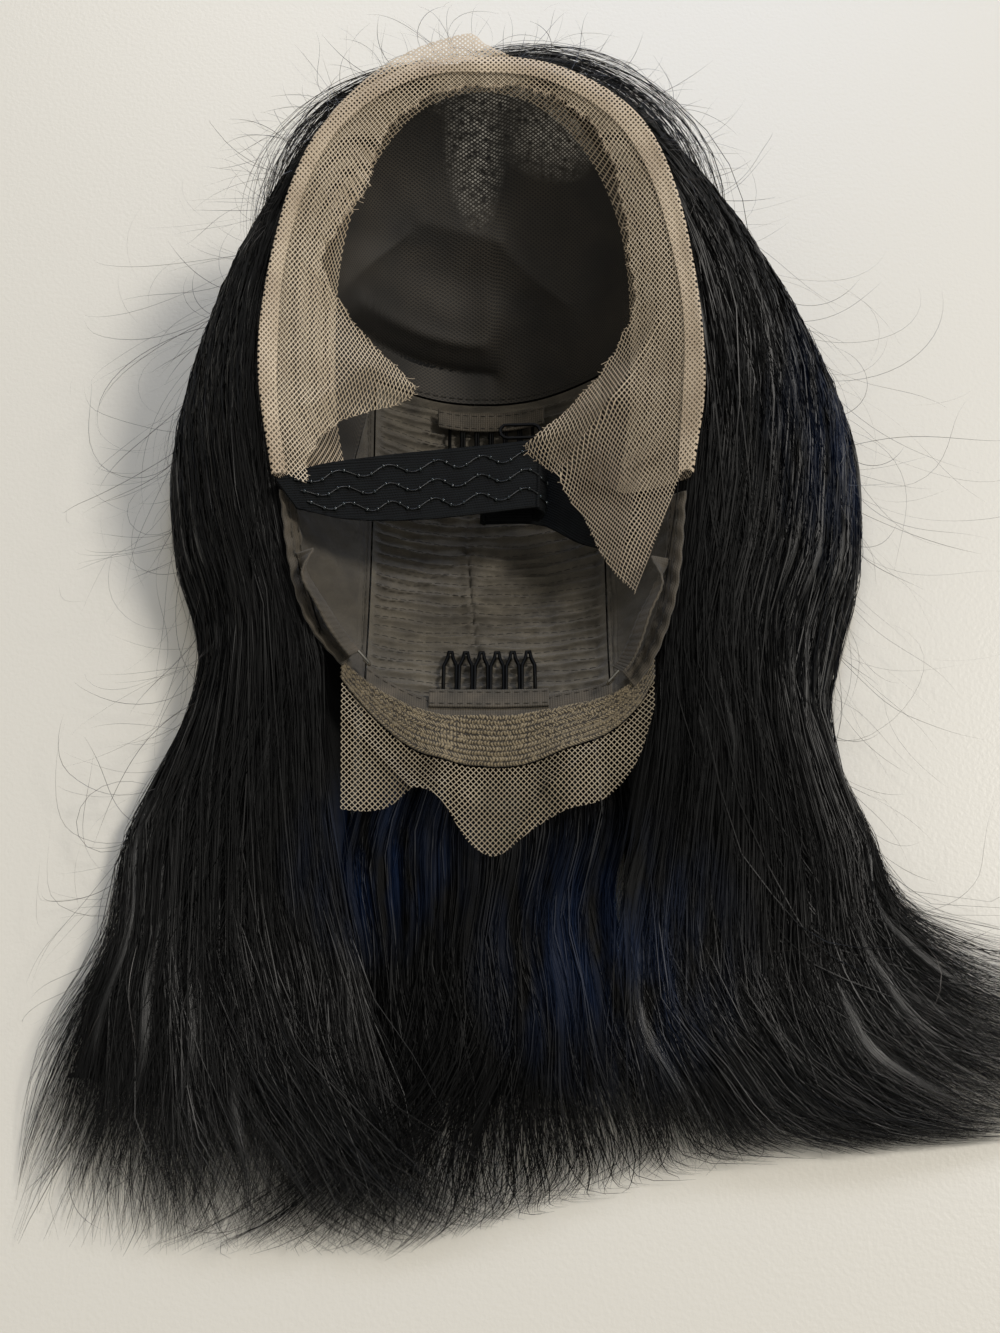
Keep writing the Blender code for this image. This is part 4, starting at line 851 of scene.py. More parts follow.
def stitchLine(points, lift=0.0002):
    # running stitches along a line of points
    length = lengthAlong(points)
    start = 0.0
    while start + tapeLook["stitch"] < length[-1]:
        at = np.array((0.0, 0.15, 0.5, 0.85, 1.0)) * tapeLook["stitch"] + start
        path = np.stack([np.interp(at, length, points[:, k]) for k in range(3)], -1)
        path[:, 2] += np.array((-0.0002, 0.0, 0.00015, 0.0, -0.0002)) + lift
        stitchPaths.append(path)
        start += tapeLook["stitch"] + tapeLook["gap"]


def makeTape(look, name, node, x, foot, depth, lift):
    # a tape on the bowl's inner face, from its foot up, sewn along both edges
    share = np.linspace(0, 1, look["rows"])[:, None]
    x, y = np.broadcast_arrays(x, foot + depth * share)
    rise = 0.0003 * (np.sin(math.pi * share) + softNoise(np.stack((x, y, 0 * x), -1), 0.007, 2.0))
    places = capPoint(x, y, lift + rise)
    clothWall(clothPiece(name, places, tapeFinish, (node,)), look["wall"])
    for row in (2, -3):
        stitchLine(places[row], 0.0001)


def makeTapes(look):
    half, depth, spine = look["combTapeWidth"] / 2, look["combTapeDepth"], look["spineShare"]
    combs = (  # middle x, and the tape's foot
        ("crownCombTape", "crown_comb_tape", 0.0030, bowl["seamY"] - 0.0100 - spine),
        ("napeCombTape", "nape_comb_tape", 0.0025, float(napeY(0.0025)) + 0.0118 - depth + spine),
    )
    for name, node, middle, foot in combs:
        x = np.linspace(middle - half, middle + half, look["columns"])
        makeTape(look, name, node, x, foot, depth, look["combTapeLift"])
    x = np.linspace(bowl["napeLeft"] + 0.008, bowl["napeRight"] - 0.014, look["columns"])
    makeTape(look, "napeTape", "nape_tape", x, napeY(x) + 0.0006, look["napeTapeDepth"], look["napeTapeLift"])


def sewSeams():
    # a stitched line along every weft, the edge tapes, the crown seam, the side seams and the trim
    for weft in range(1, 31):
        y = bowl["seamY"] - (weft - 0.1) * weftLook["weftPitch"]
        x = np.linspace(bowl["leftSeam"] + 0.002, bowl["rightSeam"] - 0.002, 70)
        x = x[napeY(x) + 0.009 < y]
        if len(x) > 8:
            stitchLine(capPoint(x, y + 0.0004 * np.sin(x * 260 + weft), 0.00025), 0.0001)
    turn = np.linspace(bowl["napeTurn"] - 1, bowl["earTurn"] + 2, 60)
    for side in (-1, 1):
        for share in (0.955, 0.985):
            stitchLine(rimPoint(side * turn, share, 0.0024), 0.0)
    stitchLine(capPoint(np.linspace(bowl["leftSeam"], bowl["rightSeam"], 60), bowl["seamY"] + 0.0022, 0.0002))
    for seamX in (bowl["leftSeam"] - 0.0015, bowl["rightSeam"] + 0.0015):
        stitchLine(capPoint(seamX, np.linspace(bowl["seamY"] - 0.006, float(napeY(seamX)) + 0.012, 60), 0.0001))
    across = np.linspace(0.02, 0.98, 120)
    for share in (0.2, 0.85):
        stitchLine(apronPoint(across, trimDepth(across) * share + 0.001), 0.0006)


makeTapes(tapeLook)
sewSeams()
finishPiece("seamStitches", threadMesh("seamStitches", stitchPaths, tapeLook["thread"]), threadFinish)


def makeCoat(name, node):
    # the wire with its black coat on: a merged copy of the solid, a little thicker
    bm = mergedCopy(node)
    bm.normal_update()
    for vertex in bm.verts:
        vertex.co += vertex.normal * tapeLook["wireCoat"]
    finishPiece(name, meshFrom(bm, name), wireFinish, (node,))


makeCoat("crownCombCoat", "crown_comb")
makeCoat("napeCombCoat", "nape_comb")
for node, finish in (("band_hook", wireFinish), ("strap_hook_left", hookFinish), ("strap_hook_right", hookFinish)):
    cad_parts[node].data.materials.clear()
    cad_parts[node].data.materials.append(finish)
print("tapes and stitches ready,", len(stitchPaths), "stitches")


# elastic band and adjuster straps

bandLook = {
    "columns": 41, "rows": 260, "wall": 0.0011, "width": 0.027, "roll": 0.0052, "turn": 0.0018, "overlap": 0.016,
    "rollAt": (0.018, -0.012), "rollTop": 0.048, "waveLength": 0.017, "waveHeight": 0.0019, "bead": 0.00036,
    "waveLanes": (-0.55, 0.0, 0.55), "waveRows": (6, 175),
}
strapLook = {"columns": 13, "rows": 90, "wall": 0.0008, "halfWidth": 0.004, "startTurn": 120.0}


def bandLine(look):
    left = rimPoint(-bowl["earTurn"] - 2, 1.0, 0.004)
    right = rimPoint(bowl["earTurn"] + 8, 0.86, 0.007)
    middle = np.array((*look["rollAt"], look["rollTop"] - look["roll"]))
    up, over = np.array((0, 0, 1.0)), np.array((1.0, 0, 0))
    top = middle + up * look["roll"]
    points = [mix(left, top, s) - up * 0.002 * math.sin(math.pi * s) for s in (0, 0.16, 0.36, 0.58, 0.80)]
    for step in range(7):
        angle = math.pi / 2 - math.pi * step / 6
        points.append(middle + look["roll"] * (over * math.cos(angle) + up * math.sin(angle)))
    low = middle - over * look["overlap"] - up * (look["roll"] + look["turn"])
    for step in range(5):
        angle = math.pi / 2 + math.pi * step / 4
        points.append(low + look["turn"] * (over * math.cos(angle) + up * math.sin(angle)))
    under = middle + over * 0.004 - up * (look["roll"] + 2.4 * look["turn"])
    points += [under, mix(under, right, 0.5) - up * 0.002, mix(under, right, 0.84), right]
    last = len(points) - 1
    flat = unit(np.array((0.05, 1.0, 0.08)))
    ways = []
    for i in range(last + 1):
        sewn = unit(np.array((-0.62 if i < last / 2 else 0.62, 0.75, 0.34)))  # its ends lie along the rim
        share = min(i, last - i, 3) / 3
        ways.append(unit(mix(sewn, flat, share)) * look["width"] / 2 * mix(0.46, 1.0, share**0.5))
    return np.array(points), np.array(ways)


def webbing(look, centre, way, lift):
    # a strip along its centre line; lift is how far its threads stand off it
    across = np.linspace(-1, 1, look["columns"])
    normal = unit(np.cross(np.gradient(centre, axis=0), way))
    return centre[:, None] + way[:, None] * across[None, :, None] + normal[:, None] * lift[..., None], normal


def makeBand(look):
    points, ways = bandLine(look)
    at = np.linspace(0, len(points) - 1, look["rows"])
    centre, way = curveThrough(points, at), curveThrough(ways, at)
    edges = np.exp(-((np.abs(np.linspace(-1, 1, look["columns"])) - 0.95) / 0.05) ** 2)
    lift = 0.0006 + 0.00010 * np.sin(np.arange(look["rows"]) * 1.9)[:, None] + 0.00022 * edges
    places, outer = webbing(look, centre, way, lift)
    clothWall(clothPiece("elasticBand", places[:, ::-1], bandFinish, ("elastic_band",)), look["wall"])
    # three wavy lines of gripping silicone, with thicker beads along them
    length = lengthAlong(centre)
    first, last = look["waveRows"]
    paths, beads = [], []
    for lane in look["waveLanes"]:
        wave = lane + look["waveHeight"] / (look["width"] / 2) * np.sin(2 * math.pi * length / look["waveLength"])
        line = centre + way * wave[:, None] + outer * 0.00085
        paths.append(line[first:last])
        for target in np.arange(0.006, length[last], look["waveLength"] / 4):
            i = int(np.searchsorted(length, target))
            beads.append(line[i] + outer[i] * 0.0002)
    finishPiece("siliconeWaves", threadMesh("siliconeWaves", paths, look["bead"], 2), waveFinish)
    bm = bmesh.new()
    for place in beads:
        made = bmesh.ops.create_icosphere(bm, subdivisions=2, radius=look["bead"] * 2)
        bmesh.ops.translate(bm, verts=made["verts"], vec=Vector(place) + shift)
    finishPiece("siliconeBeads", meshFrom(bm, "siliconeBeads"), beadFinish)


def makeStrap(look, side, name, node):
    # it starts on edge against the binding tape, then leans inwards on its way to the nape
    turn = side * look["startTurn"]
    foot = rimPoint(turn, 0.97, 0.0)
    way = rimPoint(turn, 0.97, 1.0) - foot
    centres, ways = [foot + way * (0.0012 + 0.0009 + look["halfWidth"])], [way]
    for share, inset in ((0.22, 0.9), (0.45, 1.15), (0.68, 1.1), (0.86, 1.0), (1.0, 0.95)):
        turn = side * mix(look["startTurn"], bowl["napeTurn"] + 1, share)
        inwards, _ = rimAxes(turn)
        centres.append(rimPoint(turn) + inwards * 0.0075 * inset + np.array((0, 0, 0.008 * mix(0.35, 0.62, share))))
        ways.append(unit(np.array((0, 0, 1.0)) + inwards * mix(-0.2, -0.9, share)))
    at = np.linspace(0, len(ways) - 1, look["rows"])
    centre, way = curveThrough(np.array(centres), at), unit(curveThrough(np.array(ways), at)) * look["halfWidth"]
    edges = np.abs(np.linspace(-1, 1, look["columns"])) > 0.8
    lift = 0.0004 + 0.00012 * np.sin(np.arange(look["rows"]) * 1.3)[:, None] + 0.0002 * edges
    places, _ = webbing(look, centre, way, lift)
    clothWall(clothPiece(name, places, tapeFinish, (node,)), look["wall"])


makeBand(bandLook)
makeStrap(strapLook, -1, "strapLeft", "strap_left")
makeStrap(strapLook, 1, "strapRight", "strap_right")
print("band and straps ready")


# hair: packed masses, then sheets of laid strands, then loose strands

hairLook = {
    "drape": 0.071, "belowRim": 0.006, "foot": 0.004,
    "tailLength": 0.166, "tailThickness": 0.024, "tipThickness": 0.005,
    "spreadLeft": 0.146, "spreadRight": 0.200, "partingTurn": -4.0, "leaveTurn": 128.0,
    "napeLeft": -0.046, "napeRight": 0.050,
    "sideStrands": 5400, "napeStrands": 1500, "strandPoints": 14, "halfWidth": 0.00017,
    "laidRows": 61, "laidColumns": 100, "laidRun": 1.05, "laidLifts": (0.0004, 0.0018),
    "packedStep": 0.0042, "packedInset": 0.0018,
    # where the ends stop
    "tipX": (-0.030, 0.030, 0.090, 0.200), "tipY": (-0.286, -0.268, -0.256, -0.244),
    "farRight": 0.212, "farLeft": -0.160, "farTop": 0.158,
}
lockRows = {
    "left": {
        "lane": (0.00, 0.08, 0.26, 0.44, 0.62, 0.80, 0.96, 1.04),
        "bendX": (-0.33, -0.37, -0.46, -0.57, -0.69, -0.80, -0.86, -0.88),
        "bendY": (0.36, 0.36, 0.36, 0.36, 0.35, 0.33, 0.30, 0.29),
        "tipX": (-0.28, -0.35, -0.46, -0.60, -0.75, -0.89, -1.00, -1.02),
        "tipY": (0.92, 0.93, 0.98, 0.99, 0.98, 0.92, 0.80, 0.77),
    },
    "right": {
        "lane": (0.00, 0.07, 0.23, 0.39, 0.54, 0.69, 0.83, 0.96, 1.04),
        "bendX": (0.26, 0.30, 0.38, 0.47, 0.55, 0.61, 0.65, 0.66, 0.67),
        "bendY": (0.40, 0.40, 0.40, 0.38, 0.35, 0.30, 0.24, 0.17, 0.15),
        "tipX": (0.27, 0.33, 0.50, 0.67, 0.82, 0.96, 1.00, 0.99, 0.985),
        "tipY": (0.91, 0.90, 0.88, 0.85, 0.81, 0.70, 0.58, 0.46, 0.43),
    },
    "nape": {
        "lane": (0.00, 0.07, 0.24, 0.41, 0.58, 0.75, 0.92, 1.00),
        "bendX": (-0.30, -0.26, -0.16, -0.04, 0.06, 0.13, 0.22, 0.25),
        "bendY": (0.45,) * 8,
        "tipX": (-0.32, -0.27, -0.18, -0.05, 0.05, 0.14, 0.22, 0.26),
        "tipY": (0.91, 0.92, 0.97, 0.98, 0.96, 0.92, 0.89, 0.88),
    },
}
sweepRows = (  # middle x, reach, sideways move, where it starts and how long it takes
    (-0.088, 0.034, 0.062, -0.186, 0.078),
    (-0.004, 0.028, -0.052, -0.176, 0.085),
    (0.066, 0.040, 0.036, -0.150, 0.100),
)
napeEdge = float(napeY(0.0))


def tailHeight(along):
    return mix(hairLook["tailThickness"], hairLook["tipThickness"], np.clip(along, 0, 1) ** 0.8)


def tailPlace(across, along, height):
    spread = np.where(across >= 0, hairLook["spreadRight"], hairLook["spreadLeft"])
    return np.stack((spread * across, napeEdge - hairLook["tailLength"] * along, height), -1)


def lockCurves(part, lanes):
    return (tableCurve(lockRows[part], "lane", name, lanes) for name in ("bendX", "bendY", "tipX", "tipY"))


def guideGrid(points, count):
    # lanes of points, filled in to count points each
    return curveRows(np.stack(points), np.linspace(0, len(points) - 1, count)).swapaxes(0, 1)


def sideGuides(side, lanes, count):
    first = hairLook["partingTurn"] - side * 1.8  # the two sides cross a little at the parting
    points = []
    for share in (0.0, 0.14, 0.30, 0.48, 0.66, 0.84, 1.0):
        turn = np.full(len(lanes), mix(first, side * hairLook["leaveTurn"], share))
        x, y = capPlan(turn, 1.0)
        out = -rimAxes(turn)[0] * (lanes * hairLook["drape"] * station(turn, "drape"))[:, None]
        top = rimHeight(turn) - hairLook["belowRim"]
        arch = np.maximum(np.cos(np.minimum(lanes, 1.0) * math.pi / 2), 0) ** 0.8
        points.append(np.stack((x + out[:, 0], y + out[:, 1], mix(hairLook["foot"], top, arch)), -1))
    bendX, bendY, tipX, tipY = lockCurves("right" if side > 0 else "left", lanes)
    crown = 1 - 0.5 * np.clip(lanes, 0, 1) ** 4
    points.append(tailPlace(bendX, bendY, crown * tailHeight(bendY)))
    turnOut, fallen = (0.26, 0.66) if side > 0 else (0.66, 0.52)
    midY = mix(bendY, tipY, fallen)
    points.append(tailPlace(mix(bendX, tipX, turnOut), midY, mix(crown, 1.0, 0.5) * tailHeight(midY)))
    points.append(tailPlace(tipX, tipY, 0 * tipX + hairLook["tipThickness"]))
    return guideGrid(points, count)


def napeGuides(lanes, count):
    under = 0.72  # the nape's hair lies this low beneath the sides
    bendX, bendY, tipX, tipY = lockCurves("nape", lanes)
    wideX = mix(hairLook["napeLeft"], hairLook["napeRight"], lanes)
    height = 0 * lanes + under * hairLook["tailThickness"]
    points = [np.stack((mix(-0.022, 0.024, lanes), 0 * lanes - 0.004, height), -1)]
    points += [np.stack((wideX, 0 * lanes + y, height), -1) for y in (-0.040, -0.072, napeEdge)]
    points.append(tailPlace(bendX, bendY, under * tailHeight(bendY)))
    points.append(tailPlace(tipX, tipY, 0 * tipX + hairLook["tipThickness"]))
    return guideGrid(points, count)


def sampleGrid(grid, lane, along):
    # a point of a grid for lane and along from 0 to 1; past 1 it runs straight on
    laneAt = np.clip(lane, 0, 1) * (grid.shape[0] - 1)
    alongAt = np.clip(along, 0, 1) * (grid.shape[1] - 1)
    i = np.minimum(laneAt.astype(int), grid.shape[0] - 2)
    j = np.minimum(alongAt.astype(int), grid.shape[1] - 2)
    f, g = (laneAt - i)[..., None], (alongAt - j)[..., None]
    return mix(mix(grid[i, j], grid[i + 1, j], f), mix(grid[i, j + 1], grid[i + 1, j + 1], f), g)


def hairPlaces(guides, lane, along):
    grid, normals = guides
    places = sampleGrid(grid, lane, along)
    ends = sampleGrid(grid, lane, 0 * along + 1.0) - sampleGrid(grid, lane, 0 * along + 0.95)
    places = places + ends * (np.maximum(along - 1.0, 0) / 0.05)[..., None] * 0.8
    return places, unit(sampleGrid(normals, lane, along), 1e-9)


def withNormals(grid):
    normals = unit(np.cross(np.gradient(grid, axis=0), np.gradient(grid, axis=1)), 1e-9)
    return grid, normals * (1.0 if normals[..., 2].mean() > 0 else -1.0)


def sweepTail(places, atX, share):
    # the upper hair swings sideways near its ends, left and middle towards each other
    for middle, reach, move, start, run in sweepRows:
        pull = np.exp(-((atX - middle) / reach) ** 2) * share
        far = np.clip((start - places[..., 1]) / run, 0, 1.3) ** 1.7
        places[..., 0] += move * pull * far
        places[..., 2] += 0.0035 * pull * np.clip(far * 2, 0, 1)
    return places


def easeTo(values, limit, room):
    # values that come within room of a limit close in on it softly; room is below zero for a lower limit
    left = (limit - values) / room
    return np.where(left < 1, limit - room * np.exp(left - 1), values)


def keepInside(places):
    # the right side flicks out low, and ends stay within reach of the solids
    x, y = places[..., 0], places[..., 1]
    y -= 0.015 * np.clip((x - 0.105) / 0.07, 0, 1) * np.clip((-0.10 - y) / 0.04, 0, 1)
    x += np.clip((-0.02 - y) / 0.08, 0, 1) * (0.0042 * np.sin(y * 46 + x * 16) + 0.0016 * np.sin(y * 110 - x * 60))
    y[:] = easeTo(y, np.interp(x, hairLook["tipX"], hairLook["tipY"]), -0.02)
    x[:] = easeTo(easeTo(x, hairLook["farRight"], 0.02), hairLook["farLeft"], -0.01)
    y[:] = easeTo(y, hairLook["farTop"], 0.012)
    places[..., 2] = np.maximum(places[..., 2], 0.0006)
    return places


def layHair(name, guides, layer, firstAlong, swept, finish, wavy=1.0):
    # one sheet of strands laid over the mass; its finish draws the strands and thins the ends
    lift = hairLook["laidLifts"][layer]
    lane = np.linspace(0.0, 1.0, hairLook["laidRows"])[:, None]
    along = np.linspace(firstAlong, hairLook["laidRun"], hairLook["laidColumns"])[None, :]
    lane, along = lane + 0 * along, along + 0 * lane
    places, out = hairPlaces(guides, lane, along)
    lumps = 0.0014 * np.sin(lane * 43 + layer * 2.1 + 2.0 * np.sin(along * 5))
    lumps = lumps + 0.0008 * np.sin(lane * 95 + 1.3 * layer + 3 * along)
    lumps = lumps + 0.0016 * np.sin(along * 17 + lane * 6 + layer) * np.clip(along - 0.3, 0, 1)
    places = places + out * (lift + wavy * lumps * np.clip((along - firstAlong) * 6, 0, 1))[..., None]
    atX = hairPlaces(guides, lane, 0 * along + 0.85)[0][..., 0]
    places = keepInside(sweepTail(places, atX, swept))
    # its size in millimetres: across the lanes and down from the root
    clothPiece(name, places, finish, sizes=np.stack((lane * 130.0 + 400 * layer, along * 300.0), -1))


def growStrands(guides, count, look):
    points = look["points"]
    s = np.linspace(0, 1, points)[None, :]
    root = look["root"](count)[:, None]
    laneEnd = dice.uniform(*look["lanes"], count)[:, None]
    wisp = np.round(laneEnd * look["wisps"]) / look["wisps"]
    tip = 1.0 + look["tip"] * (dice.normal(0, 0.7, (count, 1)) + 1.5 * np.sin(wisp * 37.0)) + look["tipShift"]
    along = root + (tip - root) * s
    leave = np.clip((along - root) / look["spreadOver"], 0, 1)
    # most spread from a few lanes; some lie level from the parting on
    rootLane = np.where(dice.random((count, 1)) < look["atParting"], 1.0, look["rootLane"])
    fan = mix(rootLane, 1.0, leave * leave * (3 - 2 * leave))
    gather = look["gather"] * dice.uniform(0.2, 1.0, (count, 1)) * np.clip(along - 0.5, 0, 1) * 1.6
    places, out = hairPlaces(guides, mix(laneEnd, wisp, gather) * fan, along)
    sideways = np.cross(out, unit(np.gradient(places, axis=1), 1e-9))
    grow = np.clip(along * 1.3, 0.15, 1.0)
    frizz = look["frizz"] * dice.gamma(1.5, 0.6, (count, 1))
    waves = sum(share * np.sin(along * dice.uniform(*pace, (count, 1)) + dice.uniform(0, 6.28, (count, 1)))
                for share, pace in ((1.0, (5, 11)), (0.35, (16, 30))))
    curl = look["curl"] * dice.normal(0, 1.0, (count, 1)) * np.clip(along - 0.78, 0, 1) ** 1.5
    sway = look["sway"] * np.sin(along * 7.0 + wisp * 55.0) * np.clip(along - 0.35, 0, 1)
    depth = dice.uniform(*look["depth"], (count, 1))
    depth = depth + 0.4 * frizz * grow * np.sin(along * 8 + dice.uniform(0, 6.28, (count, 1)))
    places = places + sideways * (frizz * waves * grow + sway + curl)[..., None] + out * depth[..., None]
    atX = hairPlaces(guides, laneEnd, 0 * laneEnd + 0.85)[0][..., 0]
    onTop = (dice.random((count, 1)) < look["swept"]) * dice.uniform(0.55, 1.15, (count, 1))
    return keepInside(sweepTail(places, atX, onTop))


def strandPiece(name, places, halfWidth, finish, tiltSpread=0.8):
    count, points = places.shape[:2]
    taper = np.interp(np.linspace(0, 1, points), (0, 0.08, 0.7, 1.0), (0.5, 1.0, 0.9, 0.12))
    radii = taper[None, :] * dice.uniform(0.5, 1.35, (count, 1))
    tilts = math.pi / 2 + dice.normal(0, tiltSpread, (count, 1)) + 0.3 * np.sin(np.linspace(0, 5, points))[None, :]
    mesh = threadMesh(name, places, halfWidth, ribbon=True, radii=radii, tilts=tilts)
    finishPiece(name, mesh, finish, smooth=False)


def makeHairCore(name, node):
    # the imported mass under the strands: a merged copy of the solid's form, rounded off and slimmer
    shell = bpy.data.objects.new(name + "Shell", meshFrom(mergedCopy(node), name))
    bpy.context.scene.collection.objects.link(shell)
    even = shell.modifiers.new("even", "REMESH")
    even.mode = "VOXEL"
    even.voxel_size = hairLook["packedStep"]
    bm = bmesh.new()
    bm.from_mesh(shell.evaluated_get(bpy.context.evaluated_depsgraph_get()).data)
    bpy.data.objects.remove(shell)
    for _ in range(3):
        bmesh.ops.smooth_vert(bm, verts=bm.verts, factor=0.5, use_axis_x=True, use_axis_y=True, use_axis_z=True)
    bm.normal_update()
    shortened = shift.y - 0.222  # its ends lie back under the strands' ends
    for vertex in bm.verts:
        vertex.co -= vertex.normal * hairLook["packedInset"]
        if vertex.co.y < shortened:
            vertex.co.y = shortened + (vertex.co.y - shortened) * 0.25
        beyond = vertex.co.x - shift.x - 0.100
        if beyond > 0 and vertex.co.y < shift.y - 0.085:
            vertex.co.x -= beyond * 0.55
            vertex.co.y -= beyond * 0.22
        vertex.co.z = max(vertex.co.z, 0.0)
    finishPiece(name, meshFrom(bm, name), hairCoreFinish, (node,))


def growFlyaways(count, starts, headings, look):
    # lone hairs that leave the mass and curl in the air or on the table
    points = look["points"]
    length = dice.uniform(*look["length"], count)
    bend = dice.normal(0, look["bend"], count)
    change = dice.normal(0, look["bend"] * 0.8, count)
    heading = headings + dice.normal(0, look["spread"], count)
    places = np.zeros((count, points, 3))
    places[:, 0] = starts
    rise = dice.uniform(-0.25, 0.35, count)
    for k in range(1, points):
        share = k / (points - 1)
        heading = heading + (bend + change * math.sin(share * 4)) * length / (points - 1)
        step = np.stack((np.sin(heading), np.cos(heading), rise * (1 - 1.9 * share)), -1)
        places[:, k] = places[:, k - 1] + step * (length / (points - 1))[:, None]
    return keepInside(places)


lanes = np.linspace(0, 1, 41)
leftHair = withNormals(sideGuides(-1, lanes, 121))
rightHair = withNormals(sideGuides(1, lanes, 121))
napeHair = withNormals(napeGuides(lanes, 81))
for name, node in (("hairCoreLeft", "hair_left"), ("hairCoreRight", "hair_right"), ("hairCoreNape", "hair_nape")):
    makeHairCore(name, node)
for layer in range(2):
    layHair("laidLeft%d" % layer, leftHair, layer, 0.0, 0.30 * layer, laidFinish)
    layHair("laidRight%d" % layer, rightHair, layer, 0.0, 0.40 * layer, laidFinish)
layHair("laidNape", napeHair, 1, 0.42, 0.2, napeLaidFinish, 0.4)
print("laid hair ready")


def sideRoots(count):
    # half of the strands start near the parting, the rest all along the rim
    return np.where(dice.random(count) < 0.5, dice.uniform(0.0, 0.10, count), dice.uniform(0.05, 0.66, count))


def napeRoots(count):
    return dice.uniform(0.44, 0.66, count)


sideStyle = {
    "points": hairLook["strandPoints"], "root": sideRoots, "lanes": (0.01, 1.0), "wisps": 30, "gather": 0.80,
    "tip": 0.042, "tipShift": -0.02, "spreadOver": 0.30, "rootLane": 0.12, "atParting": 0.24, "frizz": 0.0013,
    "sway": 0.0050, "depth": (0.0004, 0.0040), "curl": 0.11, "swept": 0.55,
}
napeStyle = dict(sideStyle, root=napeRoots, rootLane=1.0, wisps=18, depth=(0.0002, 0.0030), sway=0.0022,
                 frizz=0.0008, swept=0.3, tipShift=0.045)
for name, guides, count, style, finish in (
    ("strandsLeft", leftHair, hairLook["sideStrands"], sideStyle, strandFinish),
    ("strandsRight", rightHair, hairLook["sideStrands"], sideStyle, strandFinish),
    ("strandsNape", napeHair, hairLook["napeStrands"], napeStyle, napeStrandFinish),
):
    strandPiece(name, growStrands(guides, count, style), hairLook["halfWidth"], finish)

# lone hairs: round the sides, over the top of the rim, off the ends and across the mass
flyLook = {
    "points": 16, "length": (0.020, 0.085), "bend": 26.0, "spread": 0.5, "halfWidth": 0.00007, "topCount": 230,
}
flyPlaces = []
for guides, count, side in ((leftHair, 300, -1), (rightHair, 200, 1)):
    lane, along = dice.uniform(0.80, 1.0, (count, 1)), dice.uniform(0.08, 0.86, (count, 1))
    place, out = hairPlaces(guides, lane, along)
    ahead = hairPlaces(guides, lane, along + 0.02)[0] - place
    heading = np.arctan2(ahead[:, 0, 0] + 0.5 * side * np.abs(ahead[:, 0, 1]), ahead[:, 0, 1])
    flyPlaces.append(growFlyaways(count, place[:, 0] + out[:, 0] * 0.001, heading, flyLook))
turns = dice.uniform(-62, 58, flyLook["topCount"])
tops = rimPoint(turns) - rimAxes(turns)[0] * 0.006 + np.array((0, 0, -0.006))
topLook = dict(flyLook, length=(0.014, 0.040), bend=40.0, spread=0.6)
flyPlaces.append(growFlyaways(len(turns), tops, np.radians(turns) + np.sign(turns) * 0.5, topLook))
endLook = dict(flyLook, length=(0.010, 0.038), bend=30.0, spread=0.45)
for guides, count in ((leftHair, 170), (rightHair, 190), (napeHair, 60)):
    lane, along = dice.uniform(0.05, 1.0, (count, 1)), dice.uniform(0.90, 1.0, (count, 1))
    atX = hairPlaces(guides, lane, 0 * lane + 0.85)[0][..., 0]
    place = sweepTail(hairPlaces(guides, lane, along)[0], atX, 0.5)
    ahead = hairPlaces(guides, lane, along)[0] - hairPlaces(guides, lane, along - 0.03)[0]
    heading = np.arctan2(ahead[:, 0, 0], ahead[:, 0, 1])
    flyPlaces.append(growFlyaways(count, place[:, 0], heading, endLook))
strandPiece("loneHairs", np.concatenate(flyPlaces), flyLook["halfWidth"], flyFinish, 1.5)

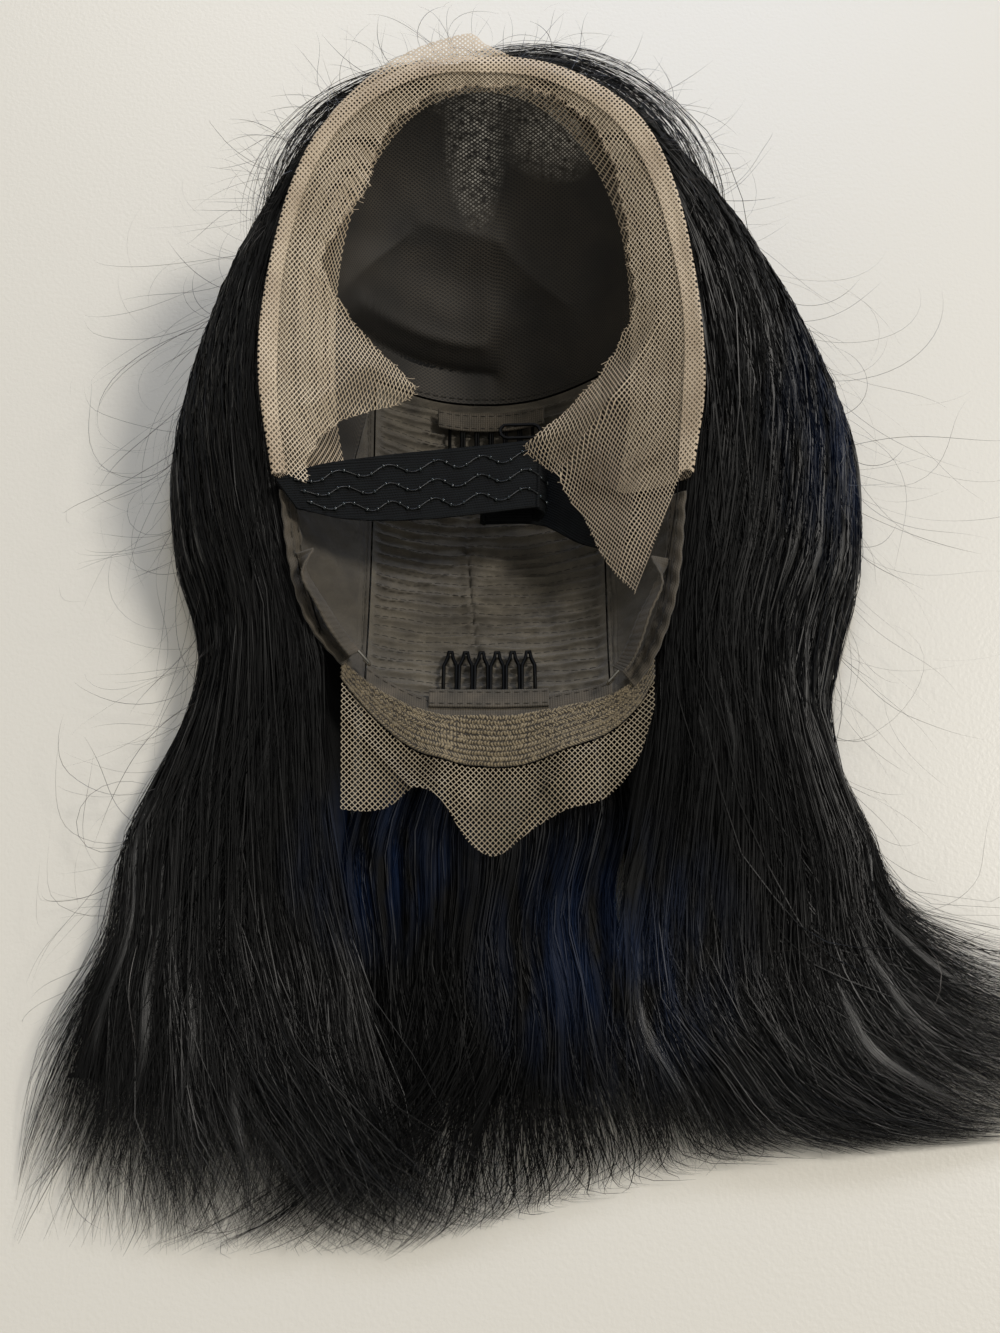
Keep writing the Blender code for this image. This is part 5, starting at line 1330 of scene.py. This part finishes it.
# loose hair that stands off the top of the rim: strands, where they start, how far they run, how far off
arcRows = {
    "looseArcRight": (300, (-6, 10), (40, 80), 0.040),
    "looseArcLeft": (220, (-26, -8), (-62, -28), 0.026),
}
arcS = np.linspace(0, 1, 16)[None, :]
for name, (count, starts, runs, off) in arcRows.items():
    turn = dice.uniform(*starts, (count, 1)) + dice.uniform(*runs, (count, 1)) * arcS
    away = dice.beta(1.6, 2.6, (count, 1)) * off * np.sin(math.pi * np.clip(arcS * 0.9 + 0.08, 0, 1)) + 0.004
    places = rimPoint(turn) - rimAxes(turn)[0] * away[..., None]
    places[..., 2] -= 0.004 + 0.5 * away + 0.02 * arcS * dice.uniform(0.2, 1.0, (count, 1))
    places += dice.normal(0, 0.0006, (count, 1, 3)) * (1 + 2 * arcS[..., None])
    strandPiece(name, keepInside(places), 0.00012, strandFinish, 1.2)
print("loose hair ready")


# floor and light: a pale satin table, a soft lamp on the right and dim daylight from all round

stageLook = {
    "table": "#DAD6CC", "tableHalf": 3.0, "lampAim": (0, 0, 0.03), "room": 0.45, "roomColour": "#F1EFE9",
    "lamps": (  # name, place, size, power and colour
        ("softLampRight", (2.80, 0.90, 3.80), 0.95, 142.0, "#FFFAF2"),
        ("softLampAbove", (-0.60, 3.00, 2.60), 1.0, 20.0, "#FFF9F0"),
        ("coolWindow", (0.30, 1.90, 1.50), 1.0, 14.0, "#BCD4FF"),
    ),
}


def makeFloor(look):
    bm = bmesh.new()
    bmesh.ops.create_grid(bm, x_segments=1, y_segments=1, size=look["tableHalf"])
    mesh = meshFrom(bm, "paleTable")
    material, tree, shader = newMaterial("satinPaintedTable")
    relief = addNode(tree, "Bump", {"Height": unevenness(tree, 1.7), "Strength": 0.25, "Distance": 0.5 * mm})
    setInputs(tree, shader, {"Base Color": hexColour(look["table"]), "Roughness": 0.40, "Normal": relief})
    mesh.materials.append(material)
    table = bpy.data.objects.new("paleTable", mesh)
    bpy.context.scene.collection.objects.link(table)


def addLamp(name, place, size, power, colour):
    data = bpy.data.lights.new(name, "AREA")
    data.shape = "DISK"
    data.size = size
    data.energy = power
    data.color = hexColour(colour)[:3]
    lamp = bpy.data.objects.new(name, data)
    lamp.location = place
    lamp.rotation_euler = (Vector(stageLook["lampAim"]) - Vector(place)).to_track_quat("-Z", "Y").to_euler()
    bpy.context.scene.collection.objects.link(lamp)


makeFloor(stageLook)
for lamp in stageLook["lamps"]:
    addLamp(*lamp)
world = bpy.data.worlds.new("plainRoom")
world.use_nodes = True
setInputs(world.node_tree, world.node_tree.nodes["Background"],
          {"Color": hexColour(stageLook["roomColour"]), "Strength": stageLook["room"]})
bpy.context.scene.world = world
bpy.context.scene.view_settings.view_transform = "Standard"
print("stage ready")
